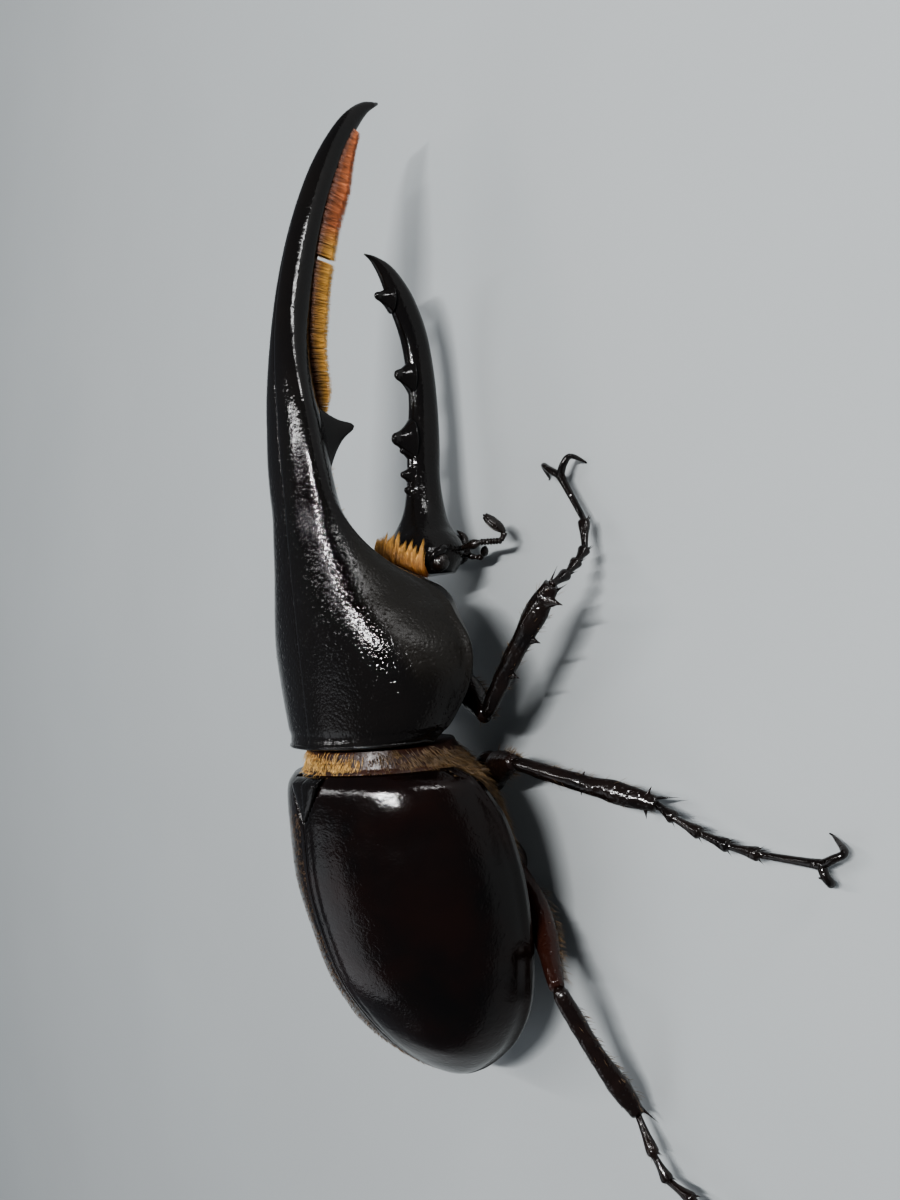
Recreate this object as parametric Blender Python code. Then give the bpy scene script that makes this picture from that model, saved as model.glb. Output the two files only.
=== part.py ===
"""A life-size model of a male hercules beetle that stands on spread legs with its two horns pointing forward.

Sizes are millimetres in the animal's own terms: forward from the middle of the pronotum's rear edge,
right from the midline, and up from the ground. at() turns them into the model's metres, with the head
towards -Y, the beetle's right side towards -X and the ground at z = 0.
"""

import math
import random

import bmesh
import bpy
import numpy as np
from mathutils import Vector

MM = 0.001
GAP = 0.3  # left between two pieces that touch
MORE = 0.05  # added to it where the faces slant
CENTRE_FORWARD = 14.95  # the middle of the whole model's length and width
CENTRE_RIGHT = 0.45

# Rows of the shield, as the pronotum is called here, and of its horn: top forward and up, bottom forward
# and up, half width, share of the height at the widest level, roundness above and below it, and how far
# the sides fall back
SHIELD_ROWS = (
    (0.0, 33.9, 0.6, 12.8, 13.0, 0.45, 2.25, 1.10, 0.0),
    (2.5, 34.1, 2.3, 10.6, 15.9, 0.44, 2.10, 1.08, 0.0),
    (8.0, 34.4, 8.0, 7.5, 18.5, 0.42, 2.10, 1.05, 0.0),
    (14.0, 34.7, 14.0, 6.0, 18.3, 0.41, 2.30, 1.13, 0.8),
    (19.5, 34.9, 19.6, 6.4, 15.6, 0.41, 2.60, 1.12, 1.6),
    (24.0, 35.1, 22.3, 9.2, 13.4, 0.34, 2.75, 1.25, 2.4),
    (28.0, 35.2, 23.9, 13.5, 11.7, 0.28, 2.80, 1.45, 2.4),
    (31.5, 35.3, 25.9, 18.9, 9.7, 0.34, 2.80, 1.25, 1.8),
    (35.0, 35.3, 28.4, 22.9, 8.0, 0.46, 2.75, 1.20, 1.0),
    (38.5, 35.4, 32.4, 25.8, 7.0, 0.60, 2.70, 1.35, 0.3),
    (42.5, 35.5, 38.6, 27.4, 6.4, 0.66, 2.60, 1.50, 0.0),
    (47.0, 35.5, 45.0, 27.8, 5.6, 0.70, 2.60, 1.50, 0.0),
    (51.0, 35.5, 50.4, 28.9, 4.9, 0.68, 2.60, 1.50, 0.0),
    (56.0, 35.4, 55.5, 29.4, 3.8, 0.64, 2.50, 1.60, 0.0),
    (61.5, 34.9, 60.6, 29.3, 2.9, 0.58, 2.30, 1.80, 0.0),
    (67.5, 33.8, 66.0, 28.4, 2.5, 0.55, 2.15, 1.90, 0.0),
    (74.2, 32.0, 72.2, 27.1, 2.2, 0.50, 2.00, 2.00, 0.0),
    (80.8, 29.6, 78.4, 25.3, 2.0, 0.50, 2.00, 2.00, 0.0),
    (86.9, 26.8, 84.4, 23.0, 1.75, 0.50, 2.00, 2.00, 0.0),
    (92.2, 23.6, 89.8, 20.6, 1.4, 0.50, 2.00, 2.00, 0.0),
    (96.6, 20.1, 94.2, 18.1, 1.05, 0.50, 2.00, 2.00, 0.0),
    (99.2, 16.6, 97.6, 15.7, 0.65, 0.50, 2.00, 2.00, 0.0),
    (99.9, 13.6, 99.5, 13.5, 0.2, 0.50, 2.00, 2.00, 0.0),
)
SHIELD_END, HORN_MIDDLE, HORN_END = 42.5, 69.0, 99.9  # along the top of the horn
HORN_TOOTH = ((46.6, 2.2, 30.0), (46.8, 3.3, 24.6))  # root and tip on the right side
HORN_TOOTH_ROOT = (3.8, 1.6)  # half length and half width
BRUSH = (50.5, 93.0)  # where the brush of hair under the horn begins and ends
BRUSH_STEP = 1.85  # from one pair of its locks to the next
BRUSH_DEPTH = 1.9  # how far its locks reach out of the horn
BRUSH_THIN = 18.0  # the length over which it grows shorter towards the tip
BRUSH_SPREAD = 0.55  # how far its locks stand from the midline
BRUSH_LEAN = 0.8  # how far the tips lean towards the horn's tip
BRUSH_LOCK = (1.15, 0.45)  # half width and half thickness of a lock
BRUSH_CLEAR = (2.2, 1.9)  # room without locks before and after the place where the horn is parted

LOCK_SUNK = 1.0  # how deep the root of any lock lies
LOCK_SHARES = (0.0, 0.45, 1.0)  # points along a lock, and its size at each
LOCK_TAPER = (1.0, 0.85, 0.14)
LOCK_UNEVEN = 0.16  # share by which locks differ in length

# The same columns for the head and the horn on it
HEAD_ROWS = (
    (24.7, 16.4, 24.7, 6.4, 5.4, 0.50, 2.2, 2.0, 0.0),
    (27.0, 17.2, 27.0, 4.8, 6.5, 0.50, 2.2, 2.0, 0.0),
    (29.6, 16.5, 29.3, 4.8, 6.0, 0.50, 2.1, 2.0, 0.0),
    (32.3, 14.8, 31.5, 5.9, 4.2, 0.52, 2.0, 2.0, 0.0),
    (35.5, 13.5, 34.4, 6.6, 2.9, 0.50, 2.0, 2.0, 0.0),
    (40.2, 12.7, 39.8, 7.0, 2.2, 0.50, 2.0, 2.0, 0.0),
    (46.0, 12.3, 45.4, 6.5, 2.0, 0.50, 2.0, 2.0, 0.0),
    (52.0, 11.4, 51.8, 6.3, 1.8, 0.50, 2.0, 2.0, 0.0),
    (57.6, 11.5, 58.0, 6.6, 1.8, 0.50, 2.0, 2.0, 0.0),
    (62.6, 12.2, 63.8, 7.5, 1.8, 0.50, 2.0, 2.0, 0.0),
    (66.8, 13.7, 68.6, 9.3, 1.7, 0.50, 2.0, 2.0, 0.0),
    (69.8, 14.7, 71.6, 11.3, 1.4, 0.50, 2.0, 2.0, 0.0),
    (72.0, 15.6, 73.7, 13.6, 1.1, 0.50, 2.0, 2.0, 0.0),
    (73.9, 16.9, 74.7, 16.2, 0.6, 0.50, 2.0, 2.0, 0.0),
    (74.8, 18.2, 74.9, 18.1, 0.15, 0.50, 2.0, 2.0, 0.0),
)
HEAD_END, HEAD_HORN_MIDDLE, HEAD_HORN_END = 32.3, 53.4, 74.8
# Each tooth on the head's horn: forward, height of its tip, half length and half width of its root
HEAD_HORN_TEETH = (
    (40.2, 14.3, 1.3, 0.9),
    (45.6, 15.5, 2.4, 1.3),
    (56.2, 14.1, 1.7, 1.0),
    (68.4, 16.8, 1.5, 1.0),
)
TOOTH_SUNK = 1.6

# Rows of the wing cases: forward, height of the seam, half width, height of the widest level, and
# roundness of the top
WING_CASE_ROWS = (
    (-3.7, 34.4, 15.2, 20.6, 1.90),
    (-5.3, 35.3, 17.7, 19.4, 1.87),
    (-7.6, 35.7, 18.8, 18.0, 1.85),
    (-12.0, 35.8, 19.8, 16.0, 1.80),
    (-19.5, 35.4, 20.7, 14.6, 1.75),
    (-27.0, 33.6, 20.3, 13.5, 1.70),
    (-34.0, 31.0, 18.8, 12.3, 1.85),
    (-39.5, 27.5, 16.8, 11.6, 2.10),
    (-44.0, 23.8, 13.8, 11.4, 2.40),
    (-47.2, 20.3, 10.5, 11.7, 2.50),
    (-49.4, 17.5, 7.5, 12.1, 2.35),
    (-50.7, 15.4, 4.9, 12.5, 2.20),
    (-51.4, 13.9, 3.0, 12.6, 2.10),
)
WING_CASE = 0.9  # thickness of a wing case
WING_CASE_LIP = math.radians(12)  # how far its lower edge turns under
LIP_DEPTH = (0.4, 1.0)  # how deep the edge may turn, as a share of the half width and a length
OUTER_STEPS, INNER_STEPS = 10, 8  # points from the seam to the lip on each face
UNDER_WING_CASE = WING_CASE + GAP + 0.15
# Rows of the neck of the hind body: forward, top, half width, widest level, bottom and roundness of the top
NECK_ROWS = (
    (-0.3, 31.8, 11.9, 21.6, 10.0, 2.1),
    (-1.9, 32.3, 12.7, 21.0, 9.3, 2.0),
    (-3.4, 32.8, 13.5, 20.4, 8.3, 1.9),
)
AFTER_NECK = 0.8  # from the neck's last row to the first row of the body behind it
COLLAR = ((-0.9, 17), (-2.0, 16))  # where each row of the collar's locks is rooted, and how many it has
COLLAR_OUT = 1.5  # how far a lock of the collar rises
COLLAR_BACK = (0.52, 0.65)  # how far back it leans at once, and how far it bends back at its tip
COLLAR_LOCK = (1.45, 0.5)
COLLAR_REACH = math.radians(104)  # the collar goes this far down from the top on each side
# The lowest line of the belly: forward and up
BELLY = (
    (-51.0, 11.0),
    (-49.0, 9.0),
    (-45.0, 6.6),
    (-40.0, 5.2),
    (-30.0, 4.5),
    (-20.0, 4.8),
    (-8.0, 6.4),
    (-3.7, 8.0),
)
BELLY_ROUNDNESS = 1.7
THORAX_END, ABDOMEN_END, BODY_END = -23.8, -45.7, -50.3
SCUTELLUM = ((-3.9, 3.4), (-6.2, 2.6), (-8.4, 1.3), (-9.9, 0.35))  # forward and half width
SCUTELLUM_TOP = 35.95
SCUTELLUM_DOME = 0.45  # how far its sides lie below its middle
SCUTELLUM_SPAN = (1.0, 0.55, 0.0, -0.55, -1.0)  # points across its top
NOTCH_UP = (32.6, 38.0)  # the notch for it is cut between these levels
NOTCH_CLEAR = (0.6, 0.4, 0.5)  # room at its front corners, along its sides and behind its point

# Each leg: hip, middle of the thigh, knee, ankle, the ends of the five foot joints, and the bend and tip
# of each claw
LEGS = {
    "front_right": (
        (8.6, 3.4, 8.8), (5.6, 10.0, 11.2), (3.0, 15.8, 13.9), (20.6, 29.9, 12.3),
        ((22.1, 29.9, 9.2), (23.8, 29.7, 6.9), (25.5, 29.4, 4.9), (29.8, 28.2, 3.4), (37.4, 23.3, 2.9)),
        (((39.5, 25.4, 2.6), (38.4, 26.2, -0.3)), ((39.2, 19.8, 2.5), (37.2, 18.2, -0.3))),
    ),
    "middle_right": (
        (-6.4, 7.4, 6.8), (-4.6, 14.2, 10.2), (-3.5, 20.2, 13.2), (-9.3, 39.1, 5.2),
        ((-11.0, 41.9, 5.1), (-12.8, 45.3, 4.2), (-14.1, 49.2, 3.7), (-14.8, 53.3, 3.1), (-15.2, 62.2, 2.7)),
        (((-13.6, 64.7, 2.4), (-12.0, 61.2, -0.3)), ((-17.5, 62.4, 2.2), (-17.5, 59.2, -0.3))),
    ),
    "hind_right": (
        (-20.0, 8.6, 5.2), (-27.6, 16.6, 7.2), (-34.3, 24.6, 12.2), (-52.5, 29.5, 3.6),
        ((-57.2, 32.8, 4.3), (-60.2, 34.4, 3.7), (-61.6, 38.3, 3.3), (-63.2, 42.4, 3.0), (-67.0, 50.4, 2.7)),
        (((-66.6, 53.6, 2.4), (-64.0, 52.6, -0.3)), ((-69.8, 51.9, 2.3), (-69.2, 49.2, -0.3))),
    ),
    "front_left": (
        (8.6, -3.4, 8.8), (6.8, -10.6, 11.0), (5.6, -17.6, 12.8), (13.0, -40.2, 6.4),
        ((14.5, -43.6, 5.4), (15.6, -46.5, 4.7), (16.4, -49.3, 4.1), (16.8, -53.9, 3.3), (13.2, -61.2, 2.8)),
        (((13.4, -63.6, 2.5), (15.8, -62.4, -0.3)), ((10.2, -61.8, 2.4), (9.8, -59.2, -0.3))),
    ),
    "middle_left": (
        (-6.4, -7.4, 6.8), (-5.0, -13.8, 10.0), (-4.4, -19.8, 13.0), (-8.6, -38.6, 5.2),
        (
            (-9.8, -41.4, 5.1), (-11.2, -44.9, 4.2), (-12.1, -48.5, 3.7), (-12.4, -52.3, 3.1),
            (-16.4, -58.8, 2.7),
        ),
        (((-15.4, -61.0, 2.4), (-13.4, -59.4, -0.3)), ((-18.8, -60.0, 2.2), (-19.8, -57.6, -0.3))),
    ),
    "hind_left": (
        (-20.0, -8.6, 5.2), (-25.6, -17.2, 7.2), (-30.0, -26.0, 12.2), (-46.6, -34.6, 3.8),
        (
            (-46.8, -40.6, 4.2), (-45.4, -44.3, 3.7), (-43.0, -47.9, 3.3), (-39.6, -50.7, 3.0),
            (-31.6, -55.2, 2.7),
        ),
        (((-28.8, -55.2, 2.4), (-29.4, -58.2, -0.3)), ((-31.4, -58.2, 2.3), (-34.2, -58.2, -0.3))),
    ),
}
# Half height and half width of a limb at equal steps from its root to its end
FEMUR_SIZES = ((1.5, 1.4), (1.7, 2.1), (1.8, 2.4), (1.7, 2.1), (1.4, 1.5), (1.0, 1.1))
TIBIA_SIZES = ((0.9, 0.9), (1.0, 1.15), (1.0, 1.2), (1.05, 1.3), (1.15, 1.5), (1.0, 1.25))
SHIN_WIDER = {"front": 1.2, "middle": 1.0, "hind": 1.25}
HIP_SIZE = (2.7, 3.3, 2.5)  # half sizes across, along and up
FOOT_WAIST, FOOT_SWELL, FOOT_END = 0.55, 0.85, 0.56  # half thicknesses along a foot
FOOT_SHARES = (0.3, 0.9)  # where along a joint its waist and its swelling lie
CLAW_ROOT = 0.12  # share of the last joint by which the claws are rooted inside it
CLAW_SIZES = (0.6, 0.55, 0.45, 0.3, 0.12)
# Teeth down the outer edge of a shin: share of its length, how far each stands out, half size of its root
FRONT_SHIN_TEETH = ((0.35, 1.5, 0.9), (0.62, 2.0, 1.1), (0.9, 2.4, 1.2))
SHIN_THORNS = ((0.5, 0.5, 0.55), (0.93, 1.1, 0.65))
SHIN_EDGE = 1.2  # from the middle of a shin to its edge
THORN_PROFILE = ((0.0, 1.0), (0.55, 0.42), (1.0, 0.07))  # share of a thorn's height, and its size there
THORN_LEAN = 0.6  # how far a thorn leans for its height
THORN_FLAT = 0.7  # its thickness against its length
SHIN_BOW = 0.5
OUTER_EDGE = {"front_right": 1, "front_left": -1}  # the edge of each front shin that carries its teeth
FLOOR_DEPTH = 5.0

# The right antenna's joints: where it leaves the head, the end of its stalk, of its beads, and of its club
ANTENNA = ((28.3, 5.0, 7.4), (28.9, 8.6, 6.4), (28.7, 12.2, 5.2), (29.9, 12.7, 4.9), (32.3, 11.0, 6.6))
STALK_SIZES = (0.55, 0.5, 0.7)
STALK_BEND = 0.55  # the share of the stalk where it is thinnest
BEADS = 6
BEAD_SIZES = (0.38, 0.52)
BEAD_SHARES = (0.25, 0.8)  # where along a bead its narrow and its swollen ring lie
LEAF_SIZES = ((0.4, 0.3), (0.85, 0.32), (0.95, 0.34), (0.3, 0.2))
LEAF_SPREAD = 0.45
LEAF_SUNK, LEAF_OPENS = 0.08, 0.3  # shares of the club: how deep its leaves start, and where they part
FEELER = ((27.6, 3.0, 5.4), (26.9, 5.4, 3.7), (28.3, 7.5, 4.5))
FEELER_SIZES = (0.45, 0.4, 0.55, 0.45, 0.6, 0.35)
EYE = (26.3, 5.9, 12.2)
EYE_RADIUS = 1.8
MOUTH = (28.9, 0.0, 4.0)
MOUTH_SIZE = (3.2, 2.6, 1.5)
# The fan of locks on the shield's front edge: forward, half width and up of the roots and of the tips
FAN = ((26.4, 5.4, 19.2), (31.4, 6.0, 17.8))
FAN_FALL = ((2.0, 3.0), (2.0, 2.6))  # how far back and down the outermost roots and tips lie
FAN_LOCKS = 15
FAN_LOCK = (0.62, 0.42)
FAN_ARCH = 0.7  # how far the middle of each lock bows up

MATERIALS = {
    "black_shell": ((0.008, 0.007, 0.007), 0.22),
    "brown_shell": ((0.022, 0.009, 0.006), 0.24),
    "limb_black": ((0.010, 0.008, 0.007), 0.28),
    "eye_black": ((0.012, 0.010, 0.009), 0.12),
    "feeler_brown": ((0.022, 0.010, 0.006), 0.35),
    "belly_brown": ((0.030, 0.013, 0.008), 0.35),
}
SMOOTH_BELOW = math.radians(40)
NEAREST = 0.35  # rings of a piece lie at least this far from its ends


def at(forward, right, up):
    return Vector((CENTRE_RIGHT - right, CENTRE_FORWARD - forward, up)) * MM


def clear_scene():
    for old in list(bpy.data.objects):
        bpy.data.objects.remove(old)


def new_collection(name):
    made = bpy.data.collections.new(name)
    bpy.context.scene.collection.children.link(made)
    return made


def finish_of(name):
    """The named material, made the first time it is asked for."""
    if name in bpy.data.materials:
        return bpy.data.materials[name]
    colour, roughness = MATERIALS[name]
    made = bpy.data.materials.new(name)
    made.use_nodes = True
    shader = made.node_tree.nodes["Principled BSDF"]
    shader.inputs["Base Color"].default_value = (*colour, 1)
    shader.inputs["Roughness"].default_value = roughness
    shader.inputs["Metallic"].default_value = 0
    return made


def shaded(mesh):
    mesh.shade_smooth()
    mesh.set_sharp_from_angle(angle=SMOOTH_BELOW)


def place(name, mesh, finish):
    """An object of this mesh among the beetle's parts."""
    made = bpy.data.objects.new(name, mesh)
    BEETLE.objects.link(made)
    mesh.materials.clear()
    mesh.materials.append(finish_of(finish))
    shaded(mesh)
    return made


def blended(rows, steps):
    """The rows with steps intervals, smoothly curved, between each two."""
    rows = np.array(rows, float)
    slopes = np.gradient(rows, axis=0)
    found = []
    for here, there, leaving, arriving in zip(rows, rows[1:], slopes, slopes[1:]):
        for t in np.arange(steps) / steps:
            found.append(
                (2 * t**3 - 3 * t**2 + 1) * here
                + (t**3 - 2 * t**2 + t) * leaving
                + (3 * t**2 - 2 * t**3) * there
                + (t**3 - t**2) * arriving
            )
    return found + [rows[-1]]


def row_at(rows, forward):
    """The row at one place along the first column, which may rise or fall."""
    fine = np.array(blended(rows, 6))
    fine = fine[np.argsort(fine[:, 0])]
    return [float(np.interp(forward, fine[:, 0], column)) for column in fine.T]


def stretch(rows, start, end, steps):
    """The rows at start and end, and the blended rows that lie between them."""
    low, high = sorted((start, end))
    inside = [row for row in blended(rows, steps) if low + NEAREST < row[0] < high - NEAREST]
    return [row_at(rows, start), *inside, row_at(rows, end)]


def rounded(angle, crown, keel):
    """How far across and up, each from -1 to 1, a rounded outline lies at an angle."""
    across, up = math.cos(angle), math.sin(angle)
    power = 2 / (crown if up >= 0 else keel)
    return math.copysign(abs(across) ** power, across), math.copysign(abs(up) ** power, up)


def horn_ring(row, sides, grow=0.0):
    """The outline of the shield, the head or a horn at one row, larger all round by grow."""
    top_forward, top_up, low_forward, low_up, half_width, widest, crown, keel, fall_back = row
    top, low = Vector((top_forward, top_up)), Vector((low_forward, low_up))
    reach = (top - low).normalized() * grow
    top, low = top + reach, low - reach
    ring = []
    for k in range(sides):
        across, up = rounded(2 * math.pi * (k + 0.5) / sides, crown, keel)
        share = widest + up * ((1 - widest) if up > 0 else widest)
        forward, height = low + (top - low) * share
        right = across * (half_width + grow)
        ring.append(at(forward - fall_back * across**2, right, height))
    return ring


def body_ring(row, sides, grow=0.0):
    """The outline of the hind body at one row, larger all round by grow."""
    forward, top, half_width, middle, bottom, crown = row
    ring = []
    for k in range(sides):
        across, up = rounded(2 * math.pi * (k + 0.5) / sides, crown, BELLY_ROUNDNESS)
        reach = top - middle if up > 0 else middle - bottom
        ring.append(at(forward, across * (half_width + grow), middle + up * (reach + grow)))
    return ring


def loft(name, rings, finish, fan=True):
    """A closed mesh through rings of equal count, each end closed by a fan or by one face."""
    mesh = bpy.data.meshes.new(name)
    work = bmesh.new()
    rows = [[work.verts.new(p) for p in ring] for ring in rings]
    count = len(rings[0])
    for near, far in zip(rows, rows[1:]):
        for k in range(count):
            work.faces.new((near[k], near[(k + 1) % count], far[(k + 1) % count], far[k]))
    for ring in (rows[0], rows[-1]):
        if not fan:
            work.faces.new(ring)
            continue
        middle = work.verts.new(sum((v.co for v in ring), Vector()) / count)
        for k in range(count):
            work.faces.new((middle, ring[k], ring[(k + 1) % count]))
    bmesh.ops.recalc_face_normals(work, faces=work.faces)
    work.to_mesh(mesh)
    work.free()
    return place(name, mesh, finish)


def surfaces(work):
    """The separate surfaces of a mesh, the largest first."""
    found, seen = [], set()
    for start in work.faces:
        if start in seen:
            continue
        seen.add(start)
        surface, todo = [], [start]
        while todo:
            face = todo.pop()
            surface.append(face)
            for other in {f for edge in face.edges for f in edge.link_faces} - seen:
                seen.add(other)
                todo.append(other)
        found.append(surface)
    return sorted(found, key=lambda surface: -sum(face.calc_area() for face in surface))


def apply_to(piece):
    """Gives a piece the mesh that its modifiers make, with only its largest closed surface."""
    graph = bpy.context.evaluated_depsgraph_get()
    mesh = bpy.data.meshes.new_from_object(piece.evaluated_get(graph))
    piece.modifiers.clear()
    piece.data = mesh
    work = bmesh.new()
    work.from_mesh(mesh)
    for scrap in surfaces(work)[1:]:
        bmesh.ops.delete(work, geom=scrap, context="FACES")
    work.to_mesh(mesh)
    work.free()
    shaded(mesh)
    return piece


def move_out(piece, collection):
    BEETLE.objects.unlink(piece)
    collection.objects.link(piece)


def cut(piece, cutter, solver="EXACT"):
    """Takes the cutter's space out of the piece, and the cutter out of the scene."""
    move_out(cutter, CUTTERS)
    cutter.hide_render = True
    cutter.display_type = "WIRE"
    modifier = piece.modifiers.new("cut", "BOOLEAN")
    modifier.operation = "DIFFERENCE"
    modifier.solver = solver
    modifier.object = cutter
    apply_to(piece)
    bpy.data.objects.remove(cutter)
    return piece


def fuse(piece, extras):
    """Joins the extras to the piece in one union."""
    group = new_collection("joined to " + piece.name)
    for extra in extras:
        move_out(extra, group)
    modifier = piece.modifiers.new("union", "BOOLEAN")
    modifier.operation = "UNION"
    modifier.solver = "EXACT"
    modifier.operand_type = "COLLECTION"
    modifier.collection = group
    apply_to(piece)
    for extra in extras:
        bpy.data.objects.remove(extra)
    bpy.data.collections.remove(group)
    return piece


def limb(name, path, sizes, finish, sides=10, grow=0.0):
    """A tapering limb along a path of model points, with its half height and half width at each."""
    rings = []
    for i, point in enumerate(path):
        ahead = (path[min(i + 1, len(path) - 1)] - path[max(i - 1, 0)]).normalized()
        side = ahead.cross(Vector((0, 0, 1))).normalized()
        rise = side.cross(ahead).normalized()
        high, wide = ((size + grow) * MM for size in sizes[i])
        end = ahead * grow * MM * ((i == len(path) - 1) - (i == 0))
        turns = [2 * math.pi * (k + 0.5) / sides for k in range(sides)]
        middle = point + end
        rings.append([middle + side * math.cos(a) * wide + rise * math.sin(a) * high for a in turns])
    return loft(name, rings, finish)


def curve_through(points, count):
    """Model points at equal steps along a smooth curve through these."""
    fine = np.array(blended([tuple(p) for p in points], 12))
    walked = np.concatenate([[0], np.cumsum(np.linalg.norm(np.diff(fine, axis=0), axis=1))])
    stops = np.linspace(0, walked[-1], count)
    return [Vector([float(np.interp(stop, walked, axis)) for axis in fine.T]) for stop in stops]


def thorn(root, tip, half_length, half_width, finish, along=Vector((0, 1, 0)), sides=5):
    """A tooth or spine with an oval root, longer along the given way, and a point for its tip."""
    rise = tip - root
    side = rise.cross(along).normalized()
    along = side.cross(rise).normalized()
    turns = [2 * math.pi * k / sides for k in range(sides)]
    rings = []
    for share, size in THORN_PROFILE:
        long, wide = half_length * size * MM, half_width * size * MM
        middle = root + rise * share
        rings.append([middle + along * math.cos(a) * long + side * math.sin(a) * wide for a in turns])
    return loft("thorn", rings, finish)


def ball(name, centre, half_sizes, finish, segments=12, rings=8):
    """An oval ball. Its half sizes are across, along and up."""
    bpy.ops.mesh.primitive_uv_sphere_add(segments=segments, ring_count=rings, radius=MM)
    made = bpy.context.object
    mesh = made.data
    for vertex in mesh.vertices:
        vertex.co = centre + Vector(a * b for a, b in zip(vertex.co, half_sizes))
    bpy.data.objects.remove(made)
    return place(name, mesh, finish)


def mirrored(point, side):
    return at(point[0], side * point[1], point[2])


def shield(name, grow=0.0):
    """The pronotum, from its rear edge to where its horn is parted from it."""
    rows = stretch(SHIELD_ROWS, 0.0, SHIELD_END, 2)
    rings = [horn_ring(row, 28, grow) for row in rows]
    if grow:
        rings[0] = [p + Vector((0, grow * MM, 0)) for p in rings[0]]
    return loft(name, rings, "black_shell")


def lock(root, out, lean, size, along):
    """A flat tapered lock of hair that rises by out and bends over by lean. It is widest the way along."""
    sunk = out.normalized() * LOCK_SUNK * MM
    path = [root - sunk + (out + sunk) * share + lean * share**2 for share in LOCK_SHARES]
    rings = []
    for i, point in enumerate(path):
        ahead = (path[min(i + 1, 2)] - path[max(i - 1, 0)]).normalized()
        wide = (along - ahead * along.dot(ahead)).normalized() * size[0] * LOCK_TAPER[i] * MM
        thick = ahead.cross(wide).normalized() * size[1] * LOCK_TAPER[i] * MM
        rings.append([point + wide, point + thick, point - wide, point - thick])
    return loft("lock", rings, "black_shell", fan=False)


def uneven(size):
    """The size, a little longer or shorter each time."""
    return size * (1 + RANDOM.uniform(-LOCK_UNEVEN, LOCK_UNEVEN))


def forehead_fan():
    """The locks that spread over the head from the front edge of the shield."""
    (root_forward, root_width, root_up), (tip_forward, tip_width, tip_up) = FAN
    locks = []
    for k in range(FAN_LOCKS):
        across = 2 * k / (FAN_LOCKS - 1) - 1
        (root_back, root_down), (tip_back, tip_down) = FAN_FALL
        aside = across**2
        root = at(root_forward - root_back * aside, across * root_width, root_up - root_down * aside)
        tip = at(tip_forward - tip_back * aside, across * tip_width, tip_up - tip_down * aside)
        arch = Vector((0, 0, FAN_ARCH * MM))
        out = (tip - root) * uneven(1.0)
        locks.append(lock(root, out + arch, -arch, FAN_LOCK, Vector((1, 0, 0))))
    return locks


def brush(start, end):
    """Pairs of locks that hang from the underside of one length of the horn."""
    locks = []
    for place_on in np.arange(start, end, BRUSH_STEP):
        top_forward, top_up, low_forward, low_up, *_ = row_at(SHIELD_ROWS, place_on)
        top, low = at(top_forward, 0, top_up), at(low_forward, 0, low_up)
        down = (low - top).normalized()
        along = Vector((0, down.z, -down.y))
        depth = BRUSH_DEPTH * min(1.0, (BRUSH[1] + 4 - place_on) / BRUSH_THIN)
        for side in (1, -1):
            root = low + Vector((side * BRUSH_SPREAD * MM, 0, 0)) + along * side * BRUSH_STEP / 4 * MM
            out = down * uneven(depth) * MM - Vector((side * BRUSH_SPREAD / 2 * MM, 0, 0))
            locks.append(lock(root, out, along * BRUSH_LEAN * MM, BRUSH_LOCK, along))
    return locks


def collar():
    """Locks round the neck that lie back over it, in the gap between the shield and the wing cases."""
    locks = []
    for forward, count in COLLAR:
        _, top, half_width, middle, *_ = row_at(NECK_ROWS, forward)
        for k in range(count):
            angle = COLLAR_REACH * (2 * (k + 0.5) / count - 1)
            outward = Vector((-math.sin(angle), 0, math.cos(angle)))
            root = at(forward, half_width * math.sin(angle), middle + (top - middle) * math.cos(angle))
            leaned, bent = (Vector((0, back * MM, 0)) for back in COLLAR_BACK)
            around = Vector((math.cos(angle), 0, math.sin(angle)))
            reach = leaned + outward * uneven(COLLAR_OUT) * MM
            locks.append(lock(root, reach, bent, COLLAR_LOCK, around))
    return locks


def shield_and_horn():
    """The pronotum, and the long horn that grows from it in two lengths."""
    fuse(shield("pronotum"), forehead_fan())
    before, after = BRUSH_CLEAR
    lengths = (
        ("thoracic_horn_base", SHIELD_END + GAP + MORE, HORN_MIDDLE, 20, BRUSH[0], HORN_MIDDLE - before),
        ("thoracic_horn_tip", HORN_MIDDLE + GAP, HORN_END, 16, HORN_MIDDLE + after, BRUSH[1]),
    )
    for name, start, end, sides, brush_start, brush_end in lengths:
        rings = [horn_ring(row, sides) for row in stretch(SHIELD_ROWS, start, end, 2)]
        extras = brush(brush_start, brush_end)
        if start < HORN_TOOTH[0][0] < end:
            for side in (1, -1):
                root, tip = (mirrored(point, side) for point in HORN_TOOTH)
                extras.append(thorn(root, tip, *HORN_TOOTH_ROOT, "black_shell", sides=10))
        fuse(loft(name, rings, "black_shell"), extras)


def head(name, grow=0.0):
    rows = stretch(HEAD_ROWS, HEAD_ROWS[0][0], HEAD_END, 2)
    return loft(name, [horn_ring(row, 20, grow) for row in rows], "black_shell")


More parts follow.
